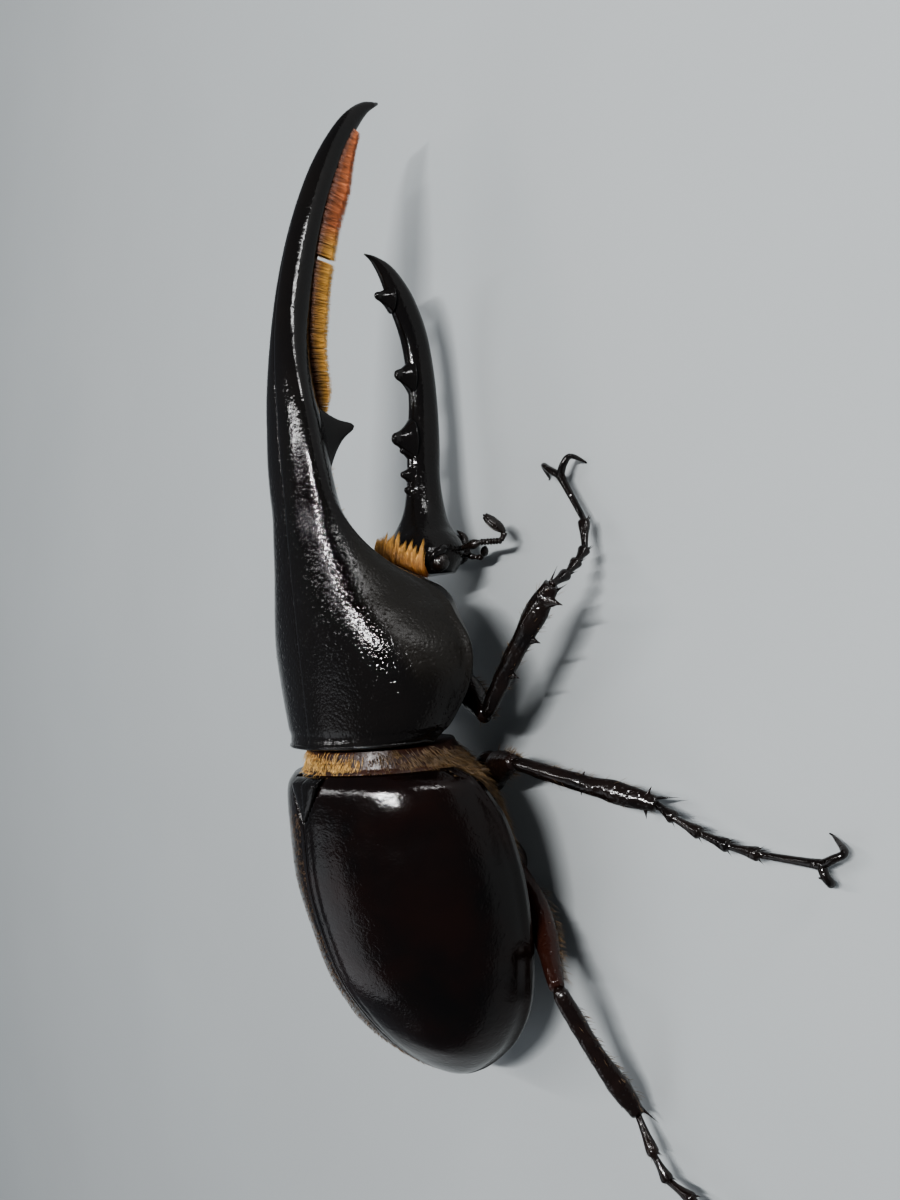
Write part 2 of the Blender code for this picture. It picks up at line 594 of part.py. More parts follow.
def head_and_horn():
    """The head, hollowed for what touches it, and its horn in two lengths with teeth along the top."""
    made = cut(head("head"), shield("shield's space", GAP))
    for word, side in (("right", 1), ("left", -1)):
        centre = mirrored(EYE, side)
        cut(made, ball("eye's space", centre, [EYE_RADIUS + GAP] * 3, "eye_black"))
        ball("eye_" + word, centre, [EYE_RADIUS] * 3, "eye_black")
    lengths = (
        ("head_horn_base", HEAD_END + GAP, HEAD_HORN_MIDDLE, 18),
        ("head_horn_tip", HEAD_HORN_MIDDLE + GAP, HEAD_HORN_END, 16),
    )
    for name, start, end, sides in lengths:
        rings = [horn_ring(row, sides) for row in stretch(HEAD_ROWS, start, end, 2)]
        made = loft(name, rings, "black_shell")
        teeth = []
        for forward, height, half_length, half_width in HEAD_HORN_TEETH:
            if start < forward < end:
                root = at(forward, 0, row_at(HEAD_ROWS, forward)[1] - TOOTH_SUNK)
                tip = at(forward, 0, height)
                teeth.append(thorn(root, tip, half_length, half_width, "black_shell", sides=8))
        fuse(made, teeth)


def face():
    """Mouth, feelers and antennae, each cut clear of the head by the gap."""
    mouth = ball("mouth", at(*MOUTH), MOUTH_SIZE, "black_shell", 12, 6)
    cut(mouth, head("head's space", GAP))
    for word, side in (("right", 1), ("left", -1)):
        path = curve_through([mirrored(p, side) for p in FEELER], len(FEELER_SIZES))
        sizes = [(size, size) for size in FEELER_SIZES]
        feeler = limb("feeler_" + word, path, sizes, "feeler_brown", 8)
        cut(feeler, head("head's space", GAP))
        room = [size + GAP for size in MOUTH_SIZE]
        cut(feeler, ball("mouth's space", at(*MOUTH), room, "black_shell", 12, 6))
        antenna(word, side)


def antenna(word, side):
    """A stalk, a string of beads and a three-leaved club."""
    root, stalk_end, beads_end, club_start, club_end = (mirrored(p, side) for p in ANTENNA)
    path = [root, root.lerp(stalk_end, STALK_BEND), stalk_end]
    sizes = [(size, size) for size in STALK_SIZES]
    narrow, swollen = BEAD_SIZES
    for k in range(BEADS):
        path += [stalk_end.lerp(beads_end, (k + share) / BEADS) for share in BEAD_SHARES]
        sizes += [(narrow, narrow), (swollen, swollen)]
    path.append(club_start)
    sizes.append((narrow, narrow))
    made = limb("antenna_" + word, path, sizes, "feeler_brown", 6)
    along = club_end - club_start
    across = along.cross(Vector((0, 0, 1))).normalized()
    leaves = []
    for k in (-1, 0, 1):
        shift = across * k * LEAF_SPREAD * MM
        root = club_start - along * LEAF_SUNK
        tip = club_end + shift - along * LEAF_SUNK * abs(k)
        path = curve_through([root, club_start + along * LEAF_OPENS + shift, tip], len(LEAF_SIZES))
        leaves.append(limb("leaf", path, LEAF_SIZES, "feeler_brown", 6))
    fuse(made, leaves)
    cut(made, head("head's space", GAP))


def wing_case_ring(row, side):
    """One wing case's outline at a row: down its outer face from the seam, round the lip and back inside."""
    forward, top, half_width, middle, crown = row
    under = LIP_DEPTH[0] * half_width + LIP_DEPTH[1]
    faces = ((0.0, np.linspace(0, 1, OUTER_STEPS)), (WING_CASE, np.linspace(1, 0, INNER_STEPS)))
    ring = []
    for inset, shares in faces:
        for share in shares:
            angle = math.pi / 2 - share * (math.pi / 2 + WING_CASE_LIP)
            across, up = rounded(angle, crown, 2.0)
            reach = (top - middle if up >= 0 else under) - inset
            right = max((half_width - inset) * across, GAP / 2)
            ring.append(at(forward, side * right, middle + reach * up))
    return ring


def wing_cases():
    """The two wing cases, thin shells that meet along the seam, with the notch where the scutellum lies."""
    corner, beside, behind = NOTCH_CLEAR
    edge = [(0.0, SCUTELLUM[0][1] + corner)]
    edge += [(forward, half + beside) for forward, half in SCUTELLUM[:-1]]
    other_edge = [(forward, -right) for forward, right in edge[::-1]]
    notch = [*edge, (SCUTELLUM[-1][0] - behind, 0.0), *other_edge]
    for word, side in (("right", 1), ("left", -1)):
        rows = stretch(WING_CASE_ROWS, WING_CASE_ROWS[0][0], WING_CASE_ROWS[-1][0], 2)
        rings = [wing_case_ring(row, side) for row in rows]
        case = loft("wing_case_" + word, rings, "brown_shell", fan=False)
        rings = [[at(forward, right, up) for forward, right in notch] for up in NOTCH_UP]
        cut(case, loft("notch", rings, "black_shell", fan=False))


def scutellum():
    """The small black triangle between the roots of the wing cases."""
    rings = []
    for forward, half_width in blended(SCUTELLUM, 2):
        low = row_at(WING_CASE_ROWS, forward)[1] - UNDER_WING_CASE + GAP + MORE
        slope = [(across, SCUTELLUM_TOP - SCUTELLUM_DOME * across**2) for across in SCUTELLUM_SPAN]
        outline = [(-1.0, low), (1.0, low), *slope]
        rings.append([at(forward, half_width * across, up) for across, up in outline])
    loft("scutellum", rings, "black_shell")


def hind_body_rows(start, end, steps):
    """Rows of the body under the wing cases, with the columns of the neck's rows."""
    belly = np.array(BELLY)
    rows = []
    for forward, top, half_width, middle, crown in stretch(WING_CASE_ROWS, start, end, steps):
        bottom = float(np.interp(forward, belly[:, 0], belly[:, 1]))
        rows.append((forward, top - UNDER_WING_CASE, half_width - UNDER_WING_CASE, middle, bottom, crown))
    return rows


def hind_body(name, start, end, grow=0.0):
    """One stretch of the body behind the shield, with the neck where it starts at the very front."""
    if start > NECK_ROWS[-1][0]:
        rows = [*NECK_ROWS, *hind_body_rows(NECK_ROWS[-1][0] - AFTER_NECK, end, 2)]
    else:
        rows = hind_body_rows(start, end, 2)
    return loft(name, [body_ring(row, 28, grow) for row in rows], "belly_brown")


def hind_body_parts():
    """The thorax with its collar, the abdomen, and the plate at the abdomen's end."""
    fuse(hind_body("thorax", 0.0, THORAX_END), collar())
    hind_body("abdomen", THORAX_END - GAP, ABDOMEN_END)
    hind_body("pygidium", ABDOMEN_END - GAP, BODY_END)


def floor():
    """The space under the ground, which leaves each foot small flats at one level."""
    bpy.ops.mesh.primitive_cube_add(size=1)
    made = bpy.context.object
    mesh = made.data
    for vertex in mesh.vertices:
        vertex.co = Vector((vertex.co.x, vertex.co.y, FLOOR_DEPTH * MM * (vertex.co.z - 0.5)))
    bpy.data.objects.remove(made)
    return place("floor", mesh, "limb_black")


def hip_ball(name, hip, grow=0.0):
    return ball(name, hip, [size + grow for size in HIP_SIZE], "limb_black", 10, 6)


def thigh(name, points, grow=0.0):
    path = curve_through(points, len(FEMUR_SIZES))
    return limb(name, path, FEMUR_SIZES, "limb_black", 10, grow)


def shin_sizes(wider):
    return [(high * wider, wide * wider) for high, wide in TIBIA_SIZES]


def shin(name, knee, ankle, wider, grow=0.0):
    """The shin, bowed a little, from inside the knee to the ankle."""
    middle = knee.lerp(ankle, 0.5) + Vector((0, 0, SHIN_BOW * MM))
    path = curve_through([knee, middle, ankle], len(TIBIA_SIZES))
    return limb(name, path, shin_sizes(wider), "limb_black", 8, grow)


def shin_thorns(knee, ankle, front):
    """Teeth that lean towards the foot: broad on one edge of a front shin, slim on both edges of the rest."""
    down = (ankle - knee).normalized()
    out = down.cross(Vector((0, 0, 1))).normalized()
    made = []
    for share, height, size in FRONT_SHIN_TEETH if front else SHIN_THORNS:
        for edge in (OUTER_EDGE[front],) if front else (1, -1):
            root = knee.lerp(ankle, share)
            tip = root + out * edge * (SHIN_EDGE + height) * MM + down * height * THORN_LEAN * MM
            made.append(thorn(root, tip, size, size * THORN_FLAT, "limb_black", down))
    return made


def foot(name, ankle, joints, claws):
    """Five foot joints, each swelling to its end, and two hooked claws that stand on the ground."""
    path, sizes = [ankle], [(FOOT_SWELL, FOOT_SWELL)]
    for near, far in zip([ankle, *joints], joints):
        path += [near.lerp(far, share) for share in FOOT_SHARES]
        sizes += [(FOOT_WAIST, FOOT_WAIST), (FOOT_SWELL, FOOT_SWELL)]
    path.append(joints[-1])
    sizes.append((FOOT_END, FOOT_END))
    made = limb(name, path, sizes, "limb_black", 7)
    extras = []
    for bend, tip in claws:
        start = joints[-1].lerp(joints[-2], CLAW_ROOT)
        hook = curve_through([start, bend, tip], len(CLAW_SIZES))
        extras.append(limb("claw", hook, [(size, size) for size in CLAW_SIZES], "limb_black", 6))
    fuse(made, extras)
    return cut(made, floor())


def leg(name, hip, thigh_middle, knee, ankle, joints, claws):
    """One leg: hip, thigh, shin and foot, each cut clear of the one before it."""
    hip, thigh_middle, knee, ankle = (at(*p) for p in (hip, thigh_middle, knee, ankle))
    joints = [at(*p) for p in joints]
    claws = [[at(*p) for p in claw] for claw in claws]
    front = name if name in OUTER_EDGE else ""
    wider = SHIN_WIDER[name.split("_")[0]]
    bones = [hip, thigh_middle, knee]
    upper = cut(thigh(name + "_thigh", bones), hip_ball("hip's space", hip, GAP))
    for piece in (hip_ball(name + "_hip", hip), upper):
        body = shield("body's space", GAP) if front else hind_body("body's space", 0.0, BODY_END, GAP)
        cut(piece, body, "MANIFOLD" if front else "EXACT")
    lower = shin(name + "_shin", knee, ankle, wider)
    fuse(lower, shin_thorns(knee, ankle, front))
    cut(lower, thigh("thigh's space", bones, GAP))
    end = foot(name + "_foot", ankle, joints, claws)
    cut(end, shin("shin's space", knee, ankle, wider, GAP))


clear_scene()
RANDOM = random.Random(5)
BEETLE = new_collection("hercules beetle")
CUTTERS = new_collection("cutters")
shield_and_horn()
head_and_horn()
face()
wing_cases()
scutellum()
hind_body_parts()
for leg_name, sizes in LEGS.items():
    leg(leg_name, *sizes)
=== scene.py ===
# %% [markdown]
# # A hercules beetle, piece by piece
#
# A male hercules beetle is a black, polished body between two long horns, with a brush of golden
# hair under the upper one. This lesson takes a measured solid model of one and dresses it. Each
# piece is rebuilt as a fine mesh on the model's own sizes, and gets a finish made only of shader
# nodes, so it looks right from any side.

# %% Open the measured model
import math

import bmesh
import bpy
import numpy as np
from mathutils import Matrix, Vector


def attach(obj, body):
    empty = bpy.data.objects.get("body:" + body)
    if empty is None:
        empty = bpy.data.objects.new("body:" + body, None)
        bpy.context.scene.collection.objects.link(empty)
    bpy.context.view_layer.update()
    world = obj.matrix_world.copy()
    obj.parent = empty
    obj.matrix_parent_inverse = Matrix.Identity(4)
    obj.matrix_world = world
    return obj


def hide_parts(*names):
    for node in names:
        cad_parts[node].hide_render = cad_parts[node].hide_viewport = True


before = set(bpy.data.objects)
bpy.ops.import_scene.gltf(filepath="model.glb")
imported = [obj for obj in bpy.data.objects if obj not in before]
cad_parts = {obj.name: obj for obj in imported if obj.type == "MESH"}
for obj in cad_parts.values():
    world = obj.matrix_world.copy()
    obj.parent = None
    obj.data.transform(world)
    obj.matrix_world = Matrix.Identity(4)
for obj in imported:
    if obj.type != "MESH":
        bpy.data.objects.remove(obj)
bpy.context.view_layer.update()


# %% [markdown]
# ## The animal's own terms
#
# A beetle is easier to describe as so far forward, so far to its right and so far up than as X, Y
# and Z. All shapes below are arrays of such millimetres. They become metres in the model only when
# a mesh is made of them, so the two systems never mix.

# %% From forward, right and up to the model
MM = 0.001
MIDDLE_FORWARD, MIDDLE_RIGHT = 14.95, 0.45


def in_model(points):
    """Points given as forward, right and up in millimetres, as model metres."""
    points = np.asarray(points, float)
    right, forward = MIDDLE_RIGHT - points[..., 1], MIDDLE_FORWARD - points[..., 0]
    return np.stack([right, forward, points[..., 2]], axis=-1) * MM


print("the pronotum's rear edge lies at", in_model((0, 0, 0)))

# %% [markdown]
# ## Rows of sizes
#
# Shell plates swell and shrink smoothly from one end to the other. A few rows of sizes hold such a
# shape, and a smooth curve through the rows gives as many rings of points between them as the mesh
# wants. Splines through rows keep the plates fair, where moving vertices by hand would leave dents
# that a glossy black shell shows at once.


# %% A smooth reading of any table of rows
def eased(rows, steps):
    """Rows joined by smooth curves, with this many steps from each row to the next."""
    rows = np.array(rows, float)
    slopes = np.gradient(rows, axis=0)
    t = (np.arange(steps) / steps)[:, None]
    parts = [
        (2 * t**3 - 3 * t**2 + 1) * here + (t**3 - 2 * t**2 + t) * leaving
        + (3 * t**2 - 2 * t**3) * there + (t**3 - t**2) * arriving
        for here, there, leaving, arriving in zip(rows, rows[1:], slopes, slopes[1:])
    ]
    return np.concatenate([*parts, rows[-1:]])


def row_reader(rows):
    """A function that gives the table's row at any place along its first column."""
    fine = eased(rows, 24)
    fine = fine[np.argsort(fine[:, 0])]
    return lambda place: np.stack([np.interp(place, fine[:, 0], column) for column in fine.T], axis=-1)


print("halfway between rows at 1 and 4:", row_reader(((0, 0), (1, 1), (2, 4)))(1.5)[1].round(2))


# %% Outlines and soft steps
def rounded(turn, crown, keel):
    """How far across and up, from -1 to 1, a rounded outline lies at each turn."""
    across, up = np.cos(turn), np.sin(turn)
    power = 2 / np.where(up >= 0, crown, keel)
    return np.sign(across) * np.abs(across) ** power, np.sign(up) * np.abs(up) ** power


def smoothly(value, low, high):
    """0 below low, 1 above high, and a soft step between."""
    share = np.clip((np.asarray(value, float) - low) / (high - low), 0, 1)
    return share * share * (3 - 2 * share)


def hump(value, middle, width):
    """1 at the middle, falling away softly on both sides."""
    return np.exp(-(((np.asarray(value, float) - middle) / width) ** 2))


print("a soft step a quarter of the way up:", smoothly(0.25, 0, 1))
print("a hump one width out:", hump(1, 0, 1).round(2))


# %% [markdown]
# ## Grids that become shells
#
# Every plate and limb here is a grid: rings of points, one after the other. A grid can be swollen
# outward by any amount at each point, which is how rims, grooves and bumps are made, and it can
# carry hair at any place on it.


# %% Helpers for grids
def turns_round(sides, closer=0.0):
    """Turns for a ring of points, closer together at its two sides where asked."""
    turn = math.tau * (np.arange(sides) + 0.5) / sides
    return turn - closer * np.sin(2 * turn)


def out_of(grid, wrap=True):
    """Unit vectors that point out of a grid of rings."""
    along = np.gradient(grid, axis=0)
    if wrap:
        round_it = np.roll(grid, -1, axis=1) - np.roll(grid, 1, axis=1)
    else:
        round_it = np.gradient(grid, axis=1)
    normal = np.cross(along, round_it)
    normal /= np.linalg.norm(normal, axis=-1, keepdims=True) + 1e-9
    centre = grid.mean(axis=1, keepdims=True)
    if (normal * (grid - centre)).sum() < 0:
        normal = -normal
    return normal


print("a ring of four turns:", turns_round(4).round(2))


# %% Swelling a grid
def swollen(grid, amount):
    """The grid with each point moved out of its surface by amount, in millimetres."""
    return grid + out_of(grid) * np.asarray(amount)[..., None]


def uneven(grid, size, seed):
    """Soft random waves over a grid, from about -1 to 1, with bumps of about this size in millimetres."""
    chance = np.random.default_rng(seed)
    total = np.zeros(grid.shape[:-1])
    for _ in range(9):
        wave = chance.normal(0, 2.2 / size, 3)
        total += np.sin(grid @ wave + chance.uniform(0, 6.283))
    return total / 3


# %% Faces between rings
def faces_of(rows, sides, start):
    """The quads between the rings of a grid whose first point has the number start."""
    row = np.arange(rows - 1)[:, None] * sides + start
    k = np.arange(sides)[None, :]
    ahead = (k + 1) % sides
    quads = np.stack([row + k, row + ahead, row + sides + ahead, row + sides + k], axis=-1)
    return quads.reshape(-1, 4).tolist()


print("quads between 3 rings of 4 points:", len(faces_of(3, 4, 0)))


# %% [markdown]
# ## One piece from many grids
#
# A horn with its teeth is several grids that run into each other. They go into one mesh, each
# closed at both ends, so the piece is solid everywhere. Joining by a Boolean would leave thin
# triangles at each root, while sunk roots hide in the shell and keep the mesh clean.


# %% Make a piece and tie it to the model
def as_piece(name, grids, finish, replaces=()):
    """One smooth object of closed grids, riding on the model in place of the solids it stands for."""
    points, faces = [], []
    for grid in grids:
        rows, sides = grid.shape[:2]
        start = len(points)
        points += in_model(grid.reshape(-1, 3)).tolist()
        faces += faces_of(rows, sides, start)
        for ring in (0, rows - 1):
            first = start + ring * sides
            points.append(in_model(grid[ring].mean(axis=0)).tolist())
            faces += [(first + k, first + (k + 1) % sides, len(points) - 1) for k in range(sides)]
    mesh = bpy.data.meshes.new(name)
    mesh.from_pydata(points, [], faces)
    work = bmesh.new()
    work.from_mesh(mesh)
    bmesh.ops.recalc_face_normals(work, faces=work.faces)
    work.to_mesh(mesh)
    work.free()
    mesh.shade_smooth()
    made = bpy.data.objects.new(name, mesh)
    bpy.context.scene.collection.objects.link(made)
    mesh.materials.append(finish.material)
    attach(made, "root")
    if replaces:
        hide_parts(*replaces)
    print(f"{name}: {len(faces)} faces for {len(replaces)} solids")
    return made


# %% [markdown]
# ## How finishes are written
#
# A finish is a small tree of shader nodes: noise for uneven colour and gloss, cells for punctures,
# and a bump that turns them into relief. All of it is measured in millimetres of the model, so a
# puncture keeps its size on every piece. A small class saves repeating how nodes are made and
# joined.


# %% A short way to write shader trees
class Finish:
    """A material and short ways to add the nodes it is made of."""

    def __init__(self, name, **sockets):
        self.material = bpy.data.materials.new(name)
        self.material.use_nodes = True
        self.tree = self.material.node_tree
        self.shader = self.tree.nodes["Principled BSDF"]
        place = self.tree.nodes.new("ShaderNodeTexCoord").outputs["Object"]
        self.place = self.add("VectorMath", {0: place, "Scale": 1 / MM}, operation="SCALE").outputs[0]
        self.set(**sockets)

    def set(self, **sockets):
        """Sets sockets of the shader. An underscore in a name stands for a space."""
        for name, value in sockets.items():
            self.join(self.shader.inputs[name.replace("_", " ")], value)

    def join(self, socket, value):
        """Links a node's output to a socket, or sets the socket to a value or colour."""
        if isinstance(value, bpy.types.NodeSocket):
            self.tree.links.new(value, socket)
        elif isinstance(value, tuple) and socket.type == "RGBA":
            socket.default_value = (*value, 1)
        else:
            socket.default_value = value

    def add(self, kind, sockets, **settings):
        """A new node of this kind, with its sockets joined and its settings made."""
        node = self.tree.nodes.new("ShaderNode" + kind)
        for name, value in settings.items():
            setattr(node, name, value)
        for name, value in sockets.items():
            self.join(node.inputs[name], value)
        return node

    def grain(self, size, detail=3.0, wander=0.0, stretch=(1, 1, 1)):
        """Cloudy noise with spots of about this size in millimetres."""
        place = self.add("VectorMath", {0: self.place, 1: stretch}, operation="MULTIPLY").outputs[0]
        sockets = {"Vector": place, "Scale": 1 / size, "Detail": detail, "Distortion": wander}
        return self.add("TexNoise", sockets).outputs[0]

    def pits(self, size):
        """Distance from the middle of scattered punctures that lie about this far apart."""
        return self.add("TexVoronoi", {"Vector": self.place, "Scale": 1 / size}).outputs["Distance"]

    def level(self, value, low, high, to_low=0.0, to_high=1.0):
        """A number that goes from low to high, laid out anew over another range."""
        sockets = {"Value": value, "From Min": low, "From Max": high, "To Min": to_low, "To Max": to_high}
        return self.add("MapRange", sockets).outputs[0]

    def between(self, low, high, size, detail=3.0, stretch=(1, 1, 1)):
        """Cloudy noise as a number from low to high."""
        return self.level(self.grain(size, detail, 0.0, stretch), 0.3, 0.7, low, high)

    def math(self, operation, *values):
        """One step of arithmetic."""
        return self.add("Math", dict(enumerate(values)), operation=operation).outputs[0]

    def blend(self, share, low, high):
        """A colour between two others, by a share from 0 to 1."""
        node = self.add("Mix", {}, data_type="RGBA")
        for socket, value in zip((node.inputs[0], node.inputs[6], node.inputs[7]), (share, low, high)):
            self.join(socket, value)
        return node.outputs[2]

    def stored(self, name, channel=0):
        """One number that the mesh carries at each point."""
        vector = self.add("Attribute", {}, attribute_name=name).outputs["Color"]
        return self.add("SeparateColor", {0: vector}).outputs[channel]

    def relief(self, *layers):
        """Bumps the surface by each height, whose full depth is given in millimetres."""
        normal = None
        for height, depth in layers:
            sockets = {"Height": height, "Distance": depth * MM}
            if normal:
                sockets["Normal"] = normal
            normal = self.add("Bump", sockets).outputs["Normal"]
        self.set(Normal=normal)


# %% [markdown]
# ## Black shell
#
# The pronotum, its horn and the head are jet black and polished, but never mirror smooth. Fine
# punctures and a leathery grain break each highlight into sparks on the back of the pronotum, and
# the horn is smoother. The front edge of the pronotum is so thin that light shines through it
# brown, and its flank is nearly matt. Paint over a smooth shell would miss the sparks, so the
# punctures are relief in the finish. Numbers stored on the mesh say where the shell is thin, matt
# or smooth.

# %% The black shell's finish
black_shell = Finish("black_shell", IOR=1.5, Specular_IOR_Level=0.28)
cloud = black_shell.grain(9.0)
thin_edge = black_shell.stored("thin_edge")
smooth_horn = black_shell.stored("smooth_horn")
matt = black_shell.stored("matt_flank")
deep = black_shell.blend(cloud, (0.0030, 0.0028, 0.0029), (0.0065, 0.0052, 0.0046))
deep = black_shell.blend(matt, deep, (0.0066, 0.0053, 0.0040))
black_shell.set(Base_Color=black_shell.blend(thin_edge, deep, (0.16, 0.05, 0.012)))
worn = black_shell.between(0.06, 0.11, 2.4, 5.0)
black_shell.set(Roughness=black_shell.math("ADD", worn, black_shell.math("MULTIPLY", matt, 0.26)))
puncture = black_shell.level(black_shell.pits(0.7), 0.05, 0.42)
leather = black_shell.grain(0.42, 3.0, 0.4)
calm = black_shell.level(smooth_horn, 0.0, 1.0, 1.0, 0.3)
where = black_shell.add("SeparateXYZ", {0: black_shell.place})
aside = black_shell.math("ABSOLUTE", black_shell.math("SUBTRACT", where.outputs[0], MIDDLE_RIGHT))
too_low = black_shell.level(where.outputs[2], 30, 31, 1, 0)
middle_line = black_shell.level(black_shell.math("ADD", aside, too_low), 0.0, 0.28)
black_shell.relief(
    (black_shell.grain(5.0, 2.0), 0.1),
    (middle_line, 0.05),
    (black_shell.math("MULTIPLY", puncture, calm), 0.042),
    (black_shell.math("MULTIPLY", leather, calm), 0.058),
)
print("black shell:", len(black_shell.tree.nodes), "nodes")

# %% [markdown]
# ## Limbs as tubes
#
# Feelers, thighs, shins and feet are tubes that follow a path and change their height and width
# along it. One helper lays rings along any path. It keeps each ring level, so a flattened limb
# stays flat side up.


# %% Tubes along a path
def curve(points, count):
    """Points at equal steps along a smooth curve through these."""
    fine = eased(points, 16)
    walked = np.concatenate([[0], np.cumsum(np.linalg.norm(np.diff(fine, axis=0), axis=1))])
    stops = np.linspace(0, walked[-1], count)
    return np.stack([np.interp(stops, walked, axis) for axis in fine.T], axis=-1)


def spread(sizes, count):
    """A short table of sizes, read at equal steps."""
    sizes = np.array(sizes, float)
    steps = np.linspace(0, len(sizes) - 1, count)
    return row_reader(np.column_stack([np.arange(len(sizes)), sizes]))(steps)[:, 1:]


def tube(path, sizes, sides=24, ribs=0.0, squareness=2.0):
    """Rings along a path, with a half height and half width each, and four faint ribs if asked."""
    ahead = np.gradient(path, axis=0)
    ahead /= np.linalg.norm(ahead, axis=1, keepdims=True) + 1e-9
    side = np.cross(ahead, [0, 0, 1.0])
    for i in range(len(side)):
        if np.linalg.norm(side[i]) < 0.2 and i:
            side[i] = side[i - 1] - ahead[i] * (side[i - 1] @ ahead[i])
    side /= np.linalg.norm(side, axis=1, keepdims=True) + 1e-9
    rise = np.cross(side, ahead)
    turn = turns_round(sides)
    across, up = rounded(turn, squareness, squareness)
    swell = 1 + ribs * np.cos(4 * turn)
    high, wide = (np.array(sizes, float)[:, k, None, None] for k in (0, 1))
    across, up = (across * swell)[None, :, None], (up * swell)[None, :, None]
    return path[:, None] + side[:, None] * across * wide + rise[:, None] * up * high


# %% [markdown]
# ## Pronotum and upper horn
#
# On the living animal the big plate behind the head and the long horn are one shell, with no seam.
# The solids part them only so that each has its own name. Here one grid runs from the rear edge to
# the horn's tip. The grid is swollen along the rear edge and the sides, as on the real plate, where
# a bead stiffens the margin. A slim tube on the rear edge gives that bead the sharp line of light
# that a swelling alone is too soft for.

# %% The plate's rows
SHIELD_ROWS = (
    # top forward and up, bottom forward and up, half width, widest level, roundness above and below,
    # and how far the sides fall back
    (0.0, 33.9, 0.6, 12.8, 13.0, 0.45, 2.25, 1.10, 0.0),
    (2.5, 34.1, 2.3, 10.6, 15.9, 0.44, 2.10, 1.08, 0.0),
    (8.0, 34.4, 8.0, 7.5, 18.5, 0.42, 2.10, 1.05, 0.0),
    (14.0, 34.7, 14.0, 6.0, 18.3, 0.41, 2.30, 1.13, 0.8),
    (19.5, 34.9, 19.6, 6.4, 15.6, 0.41, 2.60, 1.12, 1.6),
    (24.0, 35.1, 22.3, 9.2, 13.4, 0.34, 2.75, 1.25, 2.4),
    (28.0, 35.2, 23.9, 13.5, 11.7, 0.28, 2.80, 1.45, 2.4),
    (31.5, 35.3, 25.9, 18.9, 9.7, 0.34, 2.80, 1.25, 1.8),
    (35.0, 35.3, 28.4, 22.9, 8.0, 0.46, 2.75, 1.20, 1.0),
    (38.5, 35.4, 32.4, 25.8, 7.0, 0.60, 2.70, 1.35, 0.3),
    (42.5, 35.5, 38.6, 27.4, 6.4, 0.66, 2.60, 1.50, 0.0),
    (47.0, 35.5, 45.0, 27.8, 5.6, 0.70, 2.60, 1.50, 0.0),
    (51.0, 35.5, 50.4, 28.9, 4.9, 0.68, 2.60, 1.50, 0.0),
    (56.0, 35.4, 55.5, 29.4, 3.8, 0.64, 2.50, 1.60, 0.0),
    (61.5, 34.9, 60.6, 29.3, 2.9, 0.58, 2.30, 1.80, 0.0),
    (67.5, 33.8, 66.0, 28.4, 2.5, 0.55, 2.15, 1.90, 0.0),
    (74.2, 32.0, 72.2, 27.1, 2.2, 0.50, 2.00, 2.00, 0.0),
    (80.8, 29.6, 78.4, 25.3, 2.0, 0.50, 2.00, 2.00, 0.0),
    (86.9, 26.8, 84.4, 23.0, 1.75, 0.50, 2.00, 2.00, 0.0),
    (92.2, 23.6, 89.8, 20.6, 1.4, 0.50, 2.00, 2.00, 0.0),
    (96.6, 20.1, 94.2, 18.1, 1.05, 0.50, 2.00, 2.00, 0.0),
    (99.2, 16.6, 97.6, 15.7, 0.65, 0.50, 2.00, 2.00, 0.0),
    (99.9, 13.6, 99.5, 13.5, 0.2, 0.50, 2.00, 2.00, 0.0),
)
shield_row = row_reader(SHIELD_ROWS)
print("top of the pronotum and horn:", SHIELD_ROWS[0][0], "to", SHIELD_ROWS[-1][0], "mm forward")


# %% Rings of a plate
def plate_grid(row_at, places, turn):
    """Rings of a plate or horn at these places along its top."""
    row = row_at(np.asarray(places, float))[..., None]
    top_forward, top_up, low_forward, low_up, half, widest, crown, keel, fall = (row[:, i] for i in range(9))
    across, up = rounded(turn[None, :], crown, keel)
    share = widest + up * np.where(up > 0, 1 - widest, widest)
    forward = low_forward + (top_forward - low_forward) * share - fall * across**2
    return np.stack([forward, across * half, low_up + (top_up - low_up) * share], axis=-1)


# %% Rings, beads and the grid itself
places = np.concatenate([np.arange(0, 4, 0.16), np.arange(4, 97, 0.5), np.linspace(97, 99.9, 16)])
turn = turns_round(120, 0.33)
LIP_RINGS = ((0.86, 0.7), (0.96, 0.25), (0.99, 0.05))  # size of each, and how far forward it is set
shield_grid = plate_grid(shield_row, places, turn)
level = shield_row(places)
widest_up = (level[:, 3] + (level[:, 1] - level[:, 3]) * level[:, 5])[:, None]
off_side = shield_grid[..., 2] - widest_up
on_plate = 1 - smoothly(places, 24, 34)[:, None]
rear_bead = 0.2 * hump(places, 0.55, 0.5) - 0.12 * hump(places, 1.75, 0.5)
side_bead = (0.22 * hump(off_side, 0, 0.55) - 0.1 * hump(off_side, 1.4, 0.6)) * on_plate
shield_grid = swollen(shield_grid, rear_bead[:, None] + side_bead)
rear = shield_grid[:1]
middle = rear.mean(axis=1, keepdims=True)
lip = [middle + (rear - middle) * size + [[[forward, 0, 0]]] for size, forward in LIP_RINGS]
shield_grid = np.concatenate([*lip, shield_grid])
print("pronotum and horn:", shield_grid.shape[0], "rings of", shield_grid.shape[1], "points")

# %% [markdown]
# ## The tooth on the horn
#
# Halfway out, the horn carries a tooth on each side. Its foot spreads wide and runs into the horn
# in a hollow curve, so a cone would look stuck on. Rings that shrink quickly at first and slowly
# towards the point give that curve.


